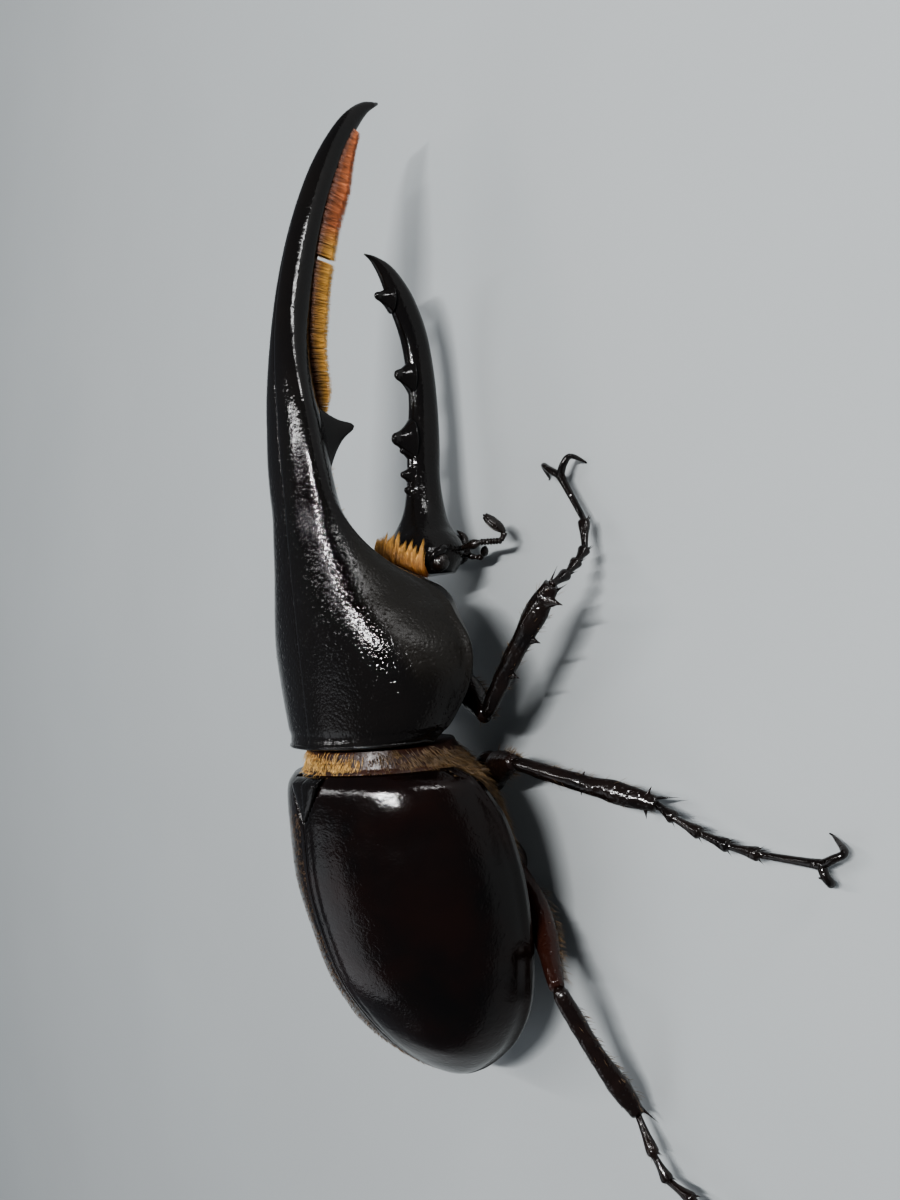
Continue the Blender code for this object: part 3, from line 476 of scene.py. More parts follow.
# %% Teeth with a spreading foot
def tooth(root, tip, half_long, half_wide, along=(1, 0, 0), knob=0.0, rings=22, sides=20):
    """A tooth from its root to its tip, longer at its foot the way along. A knob makes its tip blunt."""
    root, tip, along = (np.array(v, float) for v in (root, tip, along))
    rise = tip - root
    side = np.cross(rise, along)
    side /= np.linalg.norm(side)
    along = np.cross(side, rise)
    along /= np.linalg.norm(along)
    share = np.linspace(0, 1, rings)[:, None, None]
    round_tip = np.sqrt(np.clip(1 - (np.clip(share - 0.8, 0, 1) / 0.2) ** 2, 0.002, 1))
    size = (1 - knob) * (1 - share) ** 1.9 + (knob + 0.05) * round_tip
    turn = turns_round(sides)[None, :, None]
    ring = along * np.cos(turn) * half_long + side * np.sin(turn) * half_wide
    return root + rise * share + size * ring


horn_teeth = [tooth((45.5, 1.5 * s, 30.2), (46.9, 3.3 * s, 24.5), 6.4, 1.9, knob=0.055) for s in (1, -1)]

# %% The bead along the rear edge, and the finished piece
BEAD_RING, BEAD_STEPS, BEAD_HALF = 5, 150, 0.34
bead_turn = np.linspace(-0.45, math.pi + 0.45, BEAD_STEPS) % math.tau
columns = shield_grid[BEAD_RING].T
bead_line = np.stack([np.interp(bead_turn, turn, column, period=math.tau) for column in columns], axis=1)
bead_size = BEAD_HALF * np.sin(np.linspace(0.12, math.pi - 0.12, BEAD_STEPS)) ** 0.4
margin_bead = tube(bead_line, np.column_stack([bead_size, bead_size]), 14)
shield = as_piece(
    "pronotum_and_horn", [shield_grid, *horn_teeth, margin_bead], black_shell,
    ("pronotum", "thoracic_horn_base", "thoracic_horn_tip"),
)


# %% [markdown]
# ### Where the shell is thin, smooth or matt
#
# The finish reads three numbers stored at each point of the mesh. A painted map would tie them to
# one unwrapping. Numbers worked out from each point's place stay right however fine the mesh is. The
# thin brown edge follows the arch over the head, the horn grows smoother outward, and the flank
# turns matt below a slanting line.

# %% Numbers stored on a mesh
def store(piece, name, values):
    """Keeps a number at each point of a piece, for its finish to read."""
    kept = piece.data.attributes.new(name, "FLOAT_COLOR", "POINT")
    values = np.broadcast_to(np.asarray(values, float), len(piece.data.vertices))
    kept.data.foreach_set("color", np.repeat(values, 4))


def store_plain(piece, smooth):
    """Marks a piece of black shell as nowhere thin and nowhere matt, and as smooth as given."""
    for name, values in (("thin_edge", 0), ("matt_flank", 0), ("smooth_horn", smooth)):
        store(piece, name, values)


# %% Find points on a piece
def points_of(piece):
    """A piece's points as forward, right and up in millimetres."""
    found = np.empty(len(piece.data.vertices) * 3)
    piece.data.vertices.foreach_get("co", found)
    found = found.reshape(-1, 3) / MM
    return np.stack([MIDDLE_FORWARD - found[:, 1], MIDDLE_RIGHT - found[:, 0], found[:, 2]], axis=-1)


def near_line(points, line):
    """How far each point lies from the nearest of the line's points."""
    return np.linalg.norm(points[:, None] - np.asarray(line)[None], axis=-1).min(axis=1)


# %% Mark the thin edge, the smooth horn and the matt flank
ARCH_HALF = 1.25
arch = np.linspace(-ARCH_HALF, ARCH_HALF, 61)


def front_line(forward, up):
    """The arch of the pronotum's front edge over the head, with its middle at this place."""
    return np.stack([forward - 2.2 * arch**2, 5.6 * arch, up - 3.2 * arch**2], axis=-1)


front_edge = front_line(26.2, 18.4)
spots = points_of(shield)
store(shield, "thin_edge", 0.75 * (1 - smoothly(near_line(spots, front_edge), 0.5, 2.0)))
store(shield, "smooth_horn", smoothly(spots[:, 0], 33, 48))
# the flank below this slanting line is matt, up to where the horn begins
gloss_down_to = 30.6 - 0.35 * np.maximum(20 - spots[:, 0], 0)
on_flank = smoothly(gloss_down_to - spots[:, 2], -0.8, 1.4) * (1 - smoothly(spots[:, 0], 27, 36))
store(shield, "matt_flank", on_flank * smoothly(spots[:, 0], 6, 12))
print("thin brown edge:", int((near_line(spots, front_edge) < 2).sum()), "points")

# %% [markdown]
# ## Head and lower horn
#
# The head is small and sunk under the pronotum. Its horn sweeps out and curls up towards the upper
# one, with a row of blunt teeth along its top. The same plate rows make it, and each tooth has the
# spreading foot. Short tubes make the ridges in front of the eyes.

# %% The head's rows and teeth
HEAD_ROWS = (
    # the same columns as in the pronotum's rows
    (24.7, 16.4, 24.7, 6.4, 5.4, 0.50, 2.2, 2.0, 0.0),
    (27.0, 17.2, 27.0, 4.8, 6.5, 0.50, 2.2, 2.0, 0.0),
    (29.6, 16.5, 29.3, 4.8, 6.0, 0.50, 2.1, 2.0, 0.0),
    (32.3, 14.8, 31.5, 5.9, 4.2, 0.52, 2.0, 2.0, 0.0),
    (35.5, 13.5, 34.4, 6.6, 2.9, 0.50, 2.0, 2.0, 0.0),
    (40.2, 12.7, 39.8, 7.0, 2.2, 0.50, 2.0, 2.0, 0.0),
    (46.0, 12.3, 45.4, 6.5, 2.0, 0.50, 2.0, 2.0, 0.0),
    (52.0, 11.4, 51.8, 6.3, 1.8, 0.50, 2.0, 2.0, 0.0),
    (57.6, 11.5, 58.0, 6.6, 1.8, 0.50, 2.0, 2.0, 0.0),
    (62.6, 12.2, 63.8, 7.5, 1.8, 0.50, 2.0, 2.0, 0.0),
    (66.8, 13.7, 68.6, 9.3, 1.7, 0.50, 2.0, 2.0, 0.0),
    (69.8, 14.7, 71.6, 11.3, 1.4, 0.50, 2.0, 2.0, 0.0),
    (72.0, 15.6, 73.7, 13.6, 1.1, 0.50, 2.0, 2.0, 0.0),
    (73.9, 16.9, 74.7, 16.2, 0.6, 0.50, 2.0, 2.0, 0.0),
    (74.8, 18.2, 74.9, 18.1, 0.15, 0.50, 2.0, 2.0, 0.0),
)
# each tooth's place along the horn, height of its tip, half length and half width of its foot
HEAD_TEETH = (
    (38.0, 13.75, 1.2, 0.8), (40.4, 14.3, 1.4, 0.9), (44.2, 14.1, 1.3, 0.9), (46.0, 15.5, 2.6, 1.3),
    (56.2, 14.1, 2.2, 1.1), (68.4, 16.8, 1.7, 1.0),
)
head_row = row_reader(HEAD_ROWS)
head_places = np.concatenate([np.linspace(24.7, 72, 130), np.linspace(72.2, 74.8, 14)])
head_grid = plate_grid(head_row, head_places, turns_round(64))
head_grid = swollen(head_grid, 0.07 * uneven(head_grid, 2.5, 3) * smoothly(-head_places, -36, -30)[:, None])
head_teeth = []
for place, tip, half_long, half_wide in HEAD_TEETH:
    root = (place, 0, head_row(place)[1] - 0.55)
    head_teeth.append(tooth(root, (place + 0.15, 0, tip), half_long * 1.35, half_wide * 1.5, knob=0.2))

# %% The ridges over the eyes, and the finished head
CHEEK = ((28.6, 4.6, 10.6), (28.2, 6.3, 11.9), (27.4, 6.2, 13.4), (26.4, 5.4, 14.2))
CHEEK_SIZES = ((0.3, 0.3), (0.65, 0.6), (0.6, 0.55), (0.25, 0.25))


def sided(points, side):
    """Points of the right side, or mirrored to the left for a side of -1."""
    return np.array(points, float) * (1, side, 1)


cheeks = [tube(curve(sided(CHEEK, side), 24), spread(CHEEK_SIZES, 24), 16) for side in (1, -1)]
head = as_piece(
    "head_and_horn", [head_grid, *head_teeth, *cheeks], black_shell,
    ("head", "head_horn_base", "head_horn_tip"),
)
store_plain(head, 0.3 + 0.5 * smoothly(points_of(head)[:, 0], 34, 44))

# %% [markdown]
# ## Eyes
#
# A compound eye is a ball packed with thousands of tiny six-sided lenses. At this size they are too
# small to model one by one, but cells in the bump make the glint on the eye look grained, as the
# real one does.

# %% The eyes' finish and shape
eye_finish = Finish("compound_eye", IOR=1.5)
shade = eye_finish.grain(1.2)
eye_finish.set(Base_Color=eye_finish.blend(shade, (0.0035, 0.003, 0.003), (0.011, 0.007, 0.005)))
eye_finish.set(Roughness=eye_finish.between(0.1, 0.2, 0.5))
eye_finish.relief((eye_finish.level(eye_finish.pits(0.11), 0.0, 0.6), 0.02))
print("eyes:", len(eye_finish.tree.nodes), "nodes")


def ball(centre, half_sizes, rings=24, sides=36):
    """A grid round an oval ball. Its half sizes are forward, across and up."""
    height = -np.cos(np.linspace(0.05, math.pi - 0.05, rings))[:, None]
    wide = np.sqrt(1 - height**2)
    turn = turns_round(sides)[None, :]
    unit = np.stack([wide * np.cos(turn), wide * np.sin(turn), height + 0 * turn], axis=-1)
    return np.array(centre, float) + unit * np.array(half_sizes, float)


SIDES = (("right", 1), ("left", -1))
for word, side in SIDES:
    eye = ball((26.3, 5.3 * side, 12.1), (1.6, 1.7, 1.6))
    as_piece(f"eye_{word}_lenses", [eye], eye_finish, (f"eye_{word}",))

# %% [markdown]
# ## Feelers, antennae and mouth
#
# Each antenna is a stout stalk, a chain of little beads and a club of three leaves that can open
# like a fan. The mouth lies below the head with two short jaws and a pair of jointed feelers. They
# are dark brown and less polished than the shell, so they get their own finish.

# %% The feelers' finish
feeler_shell = Finish("feeler_shell", IOR=1.5, Specular_IOR_Level=0.4)
shade = feeler_shell.grain(1.6)
tone = feeler_shell.blend(shade, (0.0035, 0.0028, 0.0025), (0.0095, 0.0052, 0.0038))
feeler_shell.set(Base_Color=tone, Roughness=feeler_shell.between(0.2, 0.36, 0.6))
puncture = feeler_shell.level(feeler_shell.pits(0.22), 0.0, 0.4)
feeler_shell.relief((puncture, 0.03), (feeler_shell.grain(0.9), 0.05))
print("feelers:", len(feeler_shell.tree.nodes), "nodes")

# %% Antennae
ANTENNA = ((28.3, 5.0, 7.4), (28.9, 8.6, 6.4), (28.7, 12.2, 5.2), (29.9, 12.7, 4.9), (32.3, 11.0, 6.6))
BEADS = 7
STALK_SIZES = ((0.5, 0.5), (0.45, 0.45), (0.6, 0.65), (0.72, 0.75), (0.3, 0.3))
BEAD_SIZES = ((0.2, 0.2), (0.42, 0.42), (0.53, 0.53), (0.45, 0.45), (0.2, 0.2))
LEAF_SIZES = ((0.35, 0.22), (0.72, 0.26), (0.8, 0.27), (0.7, 0.24), (0.2, 0.1))
LEAF_SHIFT = 0.42


def antenna(side):
    """The grids of one antenna: stalk, beads, neck and three leaves."""
    root, stalk_end, beads_end, club_start, club_end = sided(ANTENNA, side)
    stalk = curve([root, (root + stalk_end) / 2 + [0, 0, 0.15], stalk_end], 16)
    grids = [tube(stalk, spread(STALK_SIZES, 16), 16)]
    for k in range(BEADS):
        start, end = (stalk_end + (beads_end - stalk_end) * (k + shift) / BEADS for shift in (0.0, 1.1))
        grids.append(tube(curve([start, end], 9), spread(BEAD_SIZES, 9), 14))
    grids.append(tube(curve([beads_end, club_start], 6), spread([(0.35, 0.35), (0.5, 0.5)], 6), 12))
    along = (club_end - club_start) * 1.25
    club_end = club_start + along
    across = np.cross(along, [0, 0, 1.0])
    across /= np.linalg.norm(across)
    for k in (-1, 0, 1):
        shift = across * k * LEAF_SHIFT
        bend, tip = club_start + along * 0.35 + shift, club_end + shift - along * 0.06 * abs(k)
        grids.append(tube(curve([club_start, bend, tip], 20), spread(LEAF_SIZES, 20), 20))
    return grids


for word, side in SIDES:
    as_piece(f"antenna_{word}_beads", antenna(side), feeler_shell, (f"antenna_{word}",))

# %% Mouth and mouth feelers
FEELER = ((27.6, 3.0, 5.4), (26.9, 5.4, 3.7), (28.3, 7.5, 4.5))
FEELER_SIZES = [(size, size) for size in (0.45, 0.38, 0.55, 0.36, 0.52, 0.36, 0.62, 0.6, 0.25)]
JAW = ((28.0, 1.9, 4.6), (30.4, 2.2, 4.4), (31.6, 1.3, 4.9))
JAW_SIZES = ((0.9, 1.1), (0.9, 1.0), (0.6, 0.5), (0.15, 0.1))
for word, side in SIDES:
    feeler = tube(curve(sided(FEELER, side), 40), spread(FEELER_SIZES, 40), 16)
    as_piece(f"mouth_feeler_{word}", [feeler], feeler_shell, (f"feeler_{word}",))
jaws = [tube(curve(sided(JAW, side), 18), spread(JAW_SIZES, 18), 16) for side in (1, -1)]
lips = ball((28.6, 0, 4.2), (2.5, 3.1, 1.5))
as_piece("mouth_and_jaws", [lips, *jaws], feeler_shell, ("mouth",))

# %% [markdown]
# ## Wing cases
#
# The hard fore wings close over the back like two halves of a lid, and meet in a straight seam.
# Their black has a dark red-brown glow, and they are polished but finely wrinkled. Each one is a
# shell: an outer face, a thickened edge, and an inner face. The shoulder and the end each have a
# soft bump, and a fine line follows the seam.

# %% The wing cases' finish
wing_case = Finish("wing_case", IOR=1.5, Specular_IOR_Level=0.3)
cloud = wing_case.level(wing_case.grain(11.0, 4.0, 0.4), 0.35, 0.7)
warm = wing_case.blend(cloud, (0.0022, 0.0016, 0.0015), (0.0060, 0.0022, 0.0016))
wing_case.set(Base_Color=warm, Roughness=wing_case.between(0.1, 0.18, 3.0, 5.0))
wing_case.relief(
    (wing_case.grain(7.0, 2.0), 0.18),
    (wing_case.grain(1.3, 3.0, 1.4), 0.05),
    (wing_case.level(wing_case.pits(0.9), 0.02, 0.3), 0.016),
    (wing_case.grain(0.28, 3.0), 0.022),
)
print("wing cases:", len(wing_case.tree.nodes), "nodes")

# %% The wing cases' rows
WING_CASE_ROWS = (
    # forward, height of the seam, half width, height of the widest level, roundness
    (-3.7, 34.4, 15.2, 20.6, 1.90),
    (-5.3, 35.3, 17.7, 19.4, 1.87),
    (-7.6, 35.7, 18.8, 18.0, 1.85),
    (-12.0, 35.8, 19.8, 16.0, 1.80),
    (-19.5, 35.4, 20.7, 14.6, 1.75),
    (-27.0, 33.6, 20.3, 13.5, 1.70),
    (-34.0, 31.0, 18.8, 12.3, 1.85),
    (-39.5, 27.5, 16.8, 11.6, 2.10),
    (-44.0, 23.8, 13.8, 11.4, 2.40),
    (-47.2, 20.3, 10.5, 11.7, 2.50),
    (-49.4, 17.5, 7.5, 12.1, 2.35),
    (-50.7, 15.4, 4.9, 12.5, 2.20),
    (-51.4, 13.9, 3.0, 12.6, 2.10),
)
SCUTELLUM = ((-3.9, 3.4), (-6.2, 2.6), (-8.4, 1.3), (-9.9, 0.35))  # forward and half width
wing_row = row_reader(WING_CASE_ROWS)
THICK, LIP = 0.9, math.radians(12)
print("wing cases: half width up to", max(row[2] for row in WING_CASE_ROWS), "mm")


def wing_case_sheet(places, shares, inset):
    """One face of the right wing case, from the seam down to its lip, set in by inset."""
    row = wing_row(np.asarray(places))[..., None]
    forward, top, half, middle, crown = (row[:, i] for i in range(5))
    across, up = rounded(math.pi / 2 - shares[None, :] * (math.pi / 2 + LIP), crown, 2.0)
    reach = np.where(up >= 0, top - middle, 0.4 * half + 1.0) - inset
    right = np.maximum((half - inset) * across, 0.12)
    return np.stack([forward + 0 * up, right, middle + reach * up], axis=-1)


# %% Relief of the outer face, then both cases
case_places = np.concatenate([
    np.linspace(-3.7, -9, 26), np.linspace(-9.3, -46, 96), np.linspace(-46.2, -51.4, 30)
])
outer_shares = np.linspace(0, 1, 72)
outer = wing_case_sheet(case_places, outer_shares, 0.0)
forward, right = outer[..., 0], outer[..., 1]
scutellum_half = np.interp(-forward, *np.abs(SCUTELLUM).T, 3.6, 0.0)
under_scutellum = (1 - smoothly(right - scutellum_half, 0.1, 0.4)) * (forward > -10.2)
swell = (
    0.42 * hump(forward, -9.0, 2.4) * hump(right, 14.6, 2.6)
    + 0.35 * hump(forward, -42.5, 2.8) * hump(right, 9.5, 2.8)
    - 0.10 * hump(right, 1.25, 0.35) * smoothly(-forward, 10, 12)
    + 0.16 * hump(outer_shares[None, :], 0.93, 0.03)
    - 0.12 * hump(outer_shares[None, :], 0.86, 0.025)
    - 0.6 * under_scutellum
)
outer = outer + out_of(outer, wrap=False) * swell[..., None]
outer[..., 1] = np.maximum(outer[..., 1], 0.1)
inner = wing_case_sheet(case_places, np.linspace(1, 0, 28), THICK)
case_grid = np.concatenate([outer, inner], axis=1)
for word, side in SIDES:
    case = case_grid * (1, side, 1)
    as_piece(f"wing_case_{word}_shell", [case], wing_case, (f"wing_case_{word}",))

# %% [markdown]
# ## Scutellum
#
# The small black triangle between the roots of the wing cases is a plate of its own, slightly domed
# and as glossy as the pronotum.

# %% The scutellum's plate
scutellum_half_at = row_reader(SCUTELLUM)
plate_places = np.linspace(-3.9, -9.85, 26)
half = scutellum_half_at(plate_places)[:, 1][:, None]
span = np.linspace(-1, 1, 21)[None, :]
front_drop = 1.3 * smoothly(plate_places, -5.3, -3.7)[:, None] ** 2
top_up = 35.8 - 0.3 * np.abs(span) ** 3 - front_drop + 0 * half
seam_up = wing_row(plate_places)[:, 1][:, None]
low_up = seam_up - 1.0 + 0 * span
row_forward = plate_places[:, None] + 0 * span
top_face = np.stack([row_forward, half * span, top_up], axis=-1)
low_face = np.stack([row_forward, half * span[:, ::-1] * 0.9, low_up], axis=-1)
plate = np.concatenate([top_face, low_face], axis=1)
store_plain(as_piece("scutellum_plate", [plate], black_shell, ("scutellum",)), 0.5)

# %% [markdown]
# ## Underside
#
# Under the wing cases the body is dark red-brown. The abdomen is a row of overlapping plates, whose
# rear edges stand up a little, and a last plate closes its end. The thorax in front of it carries
# the legs. All are grids of body rings, and the plates' edges are swollen into them.

# %% The underside's finish
belly_shell = Finish("belly_shell", IOR=1.5, Specular_IOR_Level=0.25)
shade = belly_shell.between(0, 1, 4.0, 4.0)
belly_shell.set(Base_Color=belly_shell.blend(shade, (0.007, 0.003, 0.002), (0.030, 0.009, 0.004)))
belly_shell.set(Roughness=belly_shell.between(0.3, 0.48, 1.5, 4.0))
puncture = belly_shell.level(belly_shell.pits(0.8), 0.03, 0.4)
belly_shell.relief((puncture, 0.05), (belly_shell.grain(0.5), 0.05))
print("underside:", len(belly_shell.tree.nodes), "nodes")

# %% The underside's rows and plates
NECK_ROWS = (
    # forward, top, half width, height of the widest level, bottom, roundness
    (-0.3, 31.8, 11.9, 21.6, 10.0, 2.1),
    (-1.9, 32.3, 12.7, 21.0, 9.3, 2.0),
    (-3.4, 32.8, 13.5, 20.4, 8.3, 1.9),
)
# forward, and height of the belly there
BELLY = (
    (-51.0, 11.0), (-49.0, 9.0), (-45.0, 6.6), (-40.0, 5.2),
    (-30.0, 4.5), (-20.0, 4.8), (-8.0, 6.4), (-3.7, 8.0),
)
UNDER_CASE = 1.35
neck_row = row_reader(NECK_ROWS)
print("neck, halfway:", neck_row(-1.9)[1:].round(1))


# %% Rings of the body
def body_grid(places, turn):
    """Rings of the body under the wing cases."""
    table = []
    for place in places:
        if place > -3.4:
            table.append(neck_row(place)[1:])
            continue
        _, top, half, middle, crown = wing_row(min(place, -3.7))
        bottom = np.interp(place, *np.array(BELLY).T)
        table.append((top - UNDER_CASE, half - UNDER_CASE, middle, bottom, crown))
    top, half, middle, bottom, crown = (np.array(column)[:, None] for column in zip(*table))
    across, up = rounded(turn[None, :], crown, 1.7)
    height = middle + up * np.where(up > 0, top - middle, middle - bottom)
    return np.stack([np.array(places)[:, None] + 0 * up, across * half, height], axis=-1)


def plates(grid, first, pitch):
    """How far the belly's plates stand up. Each rises towards its rear edge and ends in a step."""
    share = (first - grid[..., 0]) / pitch
    share = share - np.floor(share)
    below = smoothly(14 - grid[..., 2], 0, 3)
    return below * (0.3 * share**2 - 0.3 * hump(share, 0.03, 0.05) - 0.3 * hump(share, 1.03, 0.05))


# %% Thorax, abdomen and its last plate
BODY_SIDES = 96
body_turn = turns_round(BODY_SIDES)
thorax_grid = body_grid(np.linspace(-0.3, -23.7, 90), body_turn)
low = smoothly(12 - thorax_grid[..., 2], 0, 3)
keel_line = hump(thorax_grid[..., 1], 0, 0.5) * smoothly(-thorax_grid[..., 0], 8, 10)
hip_hollow = sum(hump(thorax_grid[..., 0], f, 0.6) for f in (-12.6, -22.4))
thorax_grid = swollen(thorax_grid, low * (-0.3 * keel_line - 0.35 * hip_hollow))
as_piece("thorax_shell", [thorax_grid], belly_shell, ("thorax",))
abdomen_grid = body_grid(np.linspace(-24.1, -45.6, 120), body_turn)
abdomen_grid = swollen(abdomen_grid, plates(abdomen_grid, -24.1, 4.4))
as_piece("abdomen_plates", [abdomen_grid], belly_shell, ("abdomen",))
end_grid = body_grid(np.linspace(-46.0, -50.3, 30), body_turn)
as_piece("pygidium_plate", [end_grid], belly_shell, ("pygidium",))

# %% [markdown]
# ## Legs
#
# Each leg has a round hip, a broad thigh, a shin with teeth that grip, and a foot of five small
# joints with two hooked claws. The shins and feet are ribbed and punctured, so their gloss is
# broken. The thighs are smoother, with a red-brown glow. Each leg part is rebuilt on the solids'
# own joints, so it stands exactly where they stand.

# %% The legs' finish
leg_shell = Finish("leg_shell", IOR=1.5, Specular_IOR_Level=0.36)
shade = leg_shell.level(leg_shell.grain(3.5, 4.0), 0.35, 0.65)
brown = leg_shell.stored("brown")
dark = leg_shell.blend(shade, (0.0026, 0.0022, 0.0021), (0.0065, 0.0042, 0.0034))
leg_shell.set(Base_Color=leg_shell.blend(brown, dark, (0.030, 0.008, 0.0045)))
leg_shell.set(Roughness=leg_shell.between(0.1, 0.22, 1.1, 4.0))
leg_shell.relief(
    (leg_shell.grain(1.6, 3.0, 0.8), 0.16),
    (leg_shell.level(leg_shell.pits(0.75), 0.03, 0.35), 0.06),
    (leg_shell.grain(0.3), 0.03),
)
print("legs:", len(leg_shell.tree.nodes), "nodes")

# %% Where the legs bend
LEGS = {
    # hip, middle of the thigh, knee, ankle, ends of the five foot joints, and bend and tip of each claw
    "front_right": (
        (8.6, 3.4, 8.8), (5.6, 10.0, 11.2), (3.0, 15.8, 13.9), (20.6, 29.9, 12.3),
        ((22.1, 29.9, 9.2), (23.8, 29.7, 6.9), (25.5, 29.4, 4.9), (29.8, 28.2, 3.4), (37.4, 23.3, 2.9)),
        (((39.5, 25.4, 2.6), (38.4, 26.2, -0.3)), ((39.2, 19.8, 2.5), (37.2, 18.2, -0.3))),
    ),
    "middle_right": (
        (-6.4, 7.4, 6.8), (-4.6, 14.2, 10.2), (-3.5, 20.2, 13.2), (-9.3, 39.1, 5.2),
        ((-11.0, 41.9, 5.1), (-12.8, 45.3, 4.2), (-14.1, 49.2, 3.7), (-14.8, 53.3, 3.1), (-15.2, 62.2, 2.7)),
        (((-13.6, 64.7, 2.4), (-12.0, 61.2, -0.3)), ((-17.5, 62.4, 2.2), (-17.5, 59.2, -0.3))),
    ),
    "hind_right": (
        (-20.0, 8.6, 5.2), (-27.6, 16.6, 7.2), (-34.3, 24.6, 12.2), (-52.5, 29.5, 3.6),
        ((-57.2, 32.8, 4.3), (-60.2, 34.4, 3.7), (-61.6, 38.3, 3.3), (-63.2, 42.4, 3.0), (-67.0, 50.4, 2.7)),
        (((-66.6, 53.6, 2.4), (-64.0, 52.6, -0.3)), ((-69.8, 51.9, 2.3), (-69.2, 49.2, -0.3))),
    ),
    "front_left": (
        (8.6, -3.4, 8.8), (6.8, -10.6, 11.0), (5.6, -17.6, 12.8), (13.0, -40.2, 6.4),
        ((14.5, -43.6, 5.4), (15.6, -46.5, 4.7), (16.4, -49.3, 4.1), (16.8, -53.9, 3.3), (13.2, -61.2, 2.8)),
        (((13.4, -63.6, 2.5), (15.8, -62.4, -0.3)), ((10.2, -61.8, 2.4), (9.8, -59.2, -0.3))),
    ),
    "middle_left": (
        (-6.4, -7.4, 6.8), (-5.0, -13.8, 10.0), (-4.4, -19.8, 13.0), (-8.6, -38.6, 5.2),
        ((-9.8, -41.4, 5.1), (-11.2, -44.9, 4.2), (-12.1, -48.5, 3.7), (-12.4, -52.3, 3.1),
         (-16.4, -58.8, 2.7)),
        (((-15.4, -61.0, 2.4), (-13.4, -59.4, -0.3)), ((-18.8, -60.0, 2.2), (-19.8, -57.6, -0.3))),
    ),
    "hind_left": (
        (-20.0, -8.6, 5.2), (-25.6, -17.2, 7.2), (-30.0, -26.0, 12.2), (-46.6, -34.6, 3.8),
        ((-46.8, -40.6, 4.2), (-45.4, -44.3, 3.7), (-43.0, -47.9, 3.3), (-39.6, -50.7, 3.0),
         (-31.6, -55.2, 2.7)),
        (((-28.8, -55.2, 2.4), (-29.4, -58.2, -0.3)), ((-31.4, -58.2, 2.3), (-34.2, -58.2, -0.3))),
    ),
}
LEGS = {
    name: (*(np.array(point, float) for point in points), joints, claws)
    for name, (*points, joints, claws) in LEGS.items()
}
SHIN_WIDER = {"front": 1.2, "middle": 1.0, "hind": 1.25}
OUTER_EDGE = {"front_right": 1, "front_left": -1}
print("legs:", ", ".join(LEGS))

# %% [markdown]
# ### Thighs and shins
#
# A thigh is a flattened club with a soft edge below. A shin widens to the ankle, where two long
# spurs and a crown of small spines stand. The front shins carry three broad teeth on their outer
# edge for climbing, the others only slim spines.

# %% A thigh
FEMUR = ((1.5, 1.4), (1.7, 2.1), (1.8, 2.4), (1.7, 2.1), (1.4, 1.5), (1.0, 1.1))
TIBIA = ((0.9, 0.9), (1.0, 1.1), (0.95, 1.15), (1.0, 1.3), (1.15, 1.55), (0.8, 1.0))
LIMB_SIDES = 36
# each tooth's place along the shin, its height, and the size of its foot
FRONT_TEETH = ((0.35, 1.5, 1.1), (0.62, 2.0, 1.3), (0.9, 2.4, 1.4))
SLIM_THORNS = ((0.3, 0.35, 0.4), (0.5, 0.6, 0.55), (0.72, 0.45, 0.4), (0.93, 1.1, 0.65))


def limb_directions(near, far):
    """The way down a limb, and the level way out of it."""
    down = (far - near) / np.linalg.norm(far - near)
    out = np.cross(down, [0, 0, 1.0])
    return down, out / np.linalg.norm(out)


def thigh(hip, middle, knee):
    """A thigh's grid: a slightly uneven club from the hip to the knee."""
    grid = tube(curve([hip, middle, knee], 48), spread(FEMUR, 48), LIMB_SIDES, squareness=2.1)
    return swollen(grid, 0.05 * uneven(grid, 3.0, 11))


# %% A shin with its teeth
def shin(name, knee, ankle):
    """One shin with its teeth, spines and the two spurs at the ankle."""
    wider = SHIN_WIDER[name.split("_")[0]]
    path = curve([knee, (knee + ankle) / 2 + [0, 0, 0.5], ankle], 56)
    sizes = spread([(high * wider, wide * wider) for high, wide in TIBIA], 56)
    sizes[:4] *= np.array([0.45, 0.75, 0.9, 1.0])[:, None]
    shaft = tube(path, sizes, LIMB_SIDES, ribs=0.05)
    grids = [swollen(shaft, 0.06 * uneven(shaft, 1.8, 12))]
    down, out = limb_directions(knee, ankle)
    front = name in OUTER_EDGE
    for share, height, size in FRONT_TEETH if front else SLIM_THORNS:
        for edge in (-OUTER_EDGE[name],) if front else (1, -1):
            root = knee + (ankle - knee) * share + [0, 0, 0.3]
            tip = root + out * edge * (1.2 + height) + down * height * 0.6
            grids.append(tooth(root, tip, size * 1.5, size * 0.8, down))
    for edge in (1, -1):
        root = ankle - down * 0.6 + out * edge * 0.6 * wider + [0, 0, -0.4]
        tip = root + down * (2.3 + 0.5 * edge) + out * edge * 0.8 - [0, 0, 0.7]
        grids.append(tooth(root, tip, 0.32, 0.32, out))
    for k in range(7):
        turn = math.tau * k / 7
        ring = out * math.cos(turn) * 0.95 * wider + np.array([0, 0, math.sin(turn) * 0.75])
        root, tip = ankle - down * 0.9 + ring * 0.7, ankle + down * 0.35 + ring * 1.15
        grids.append(tooth(root, tip, 0.16, 0.16, out))
    return grids


# %% [markdown]
# ### Feet
#
# Four short joints each swell like a trumpet and end in fine spines. The last joint is long and
# slim, and carries two strong curved claws. The claws rest on the ground, so what would reach below
# it is flattened.

# %% Foot grids
# places along a joint, and the joint's half size at each: the first four joints, then the last one
JOINT_SHARES = (0.0, 0.1, 0.3, 0.55, 0.78, 0.9, 0.97)
JOINT_SIZES = (0.44, 0.46, 0.5, 0.62, 0.82, 0.88, 0.74)
LAST_SIZES = (0.42, 0.44, 0.46, 0.5, 0.56, 0.66, 0.7)
CLAW_SIZES = ((0.6, 0.58), (0.6, 0.52), (0.5, 0.42), (0.34, 0.28), (0.1, 0.1))
GROUND = 0.03


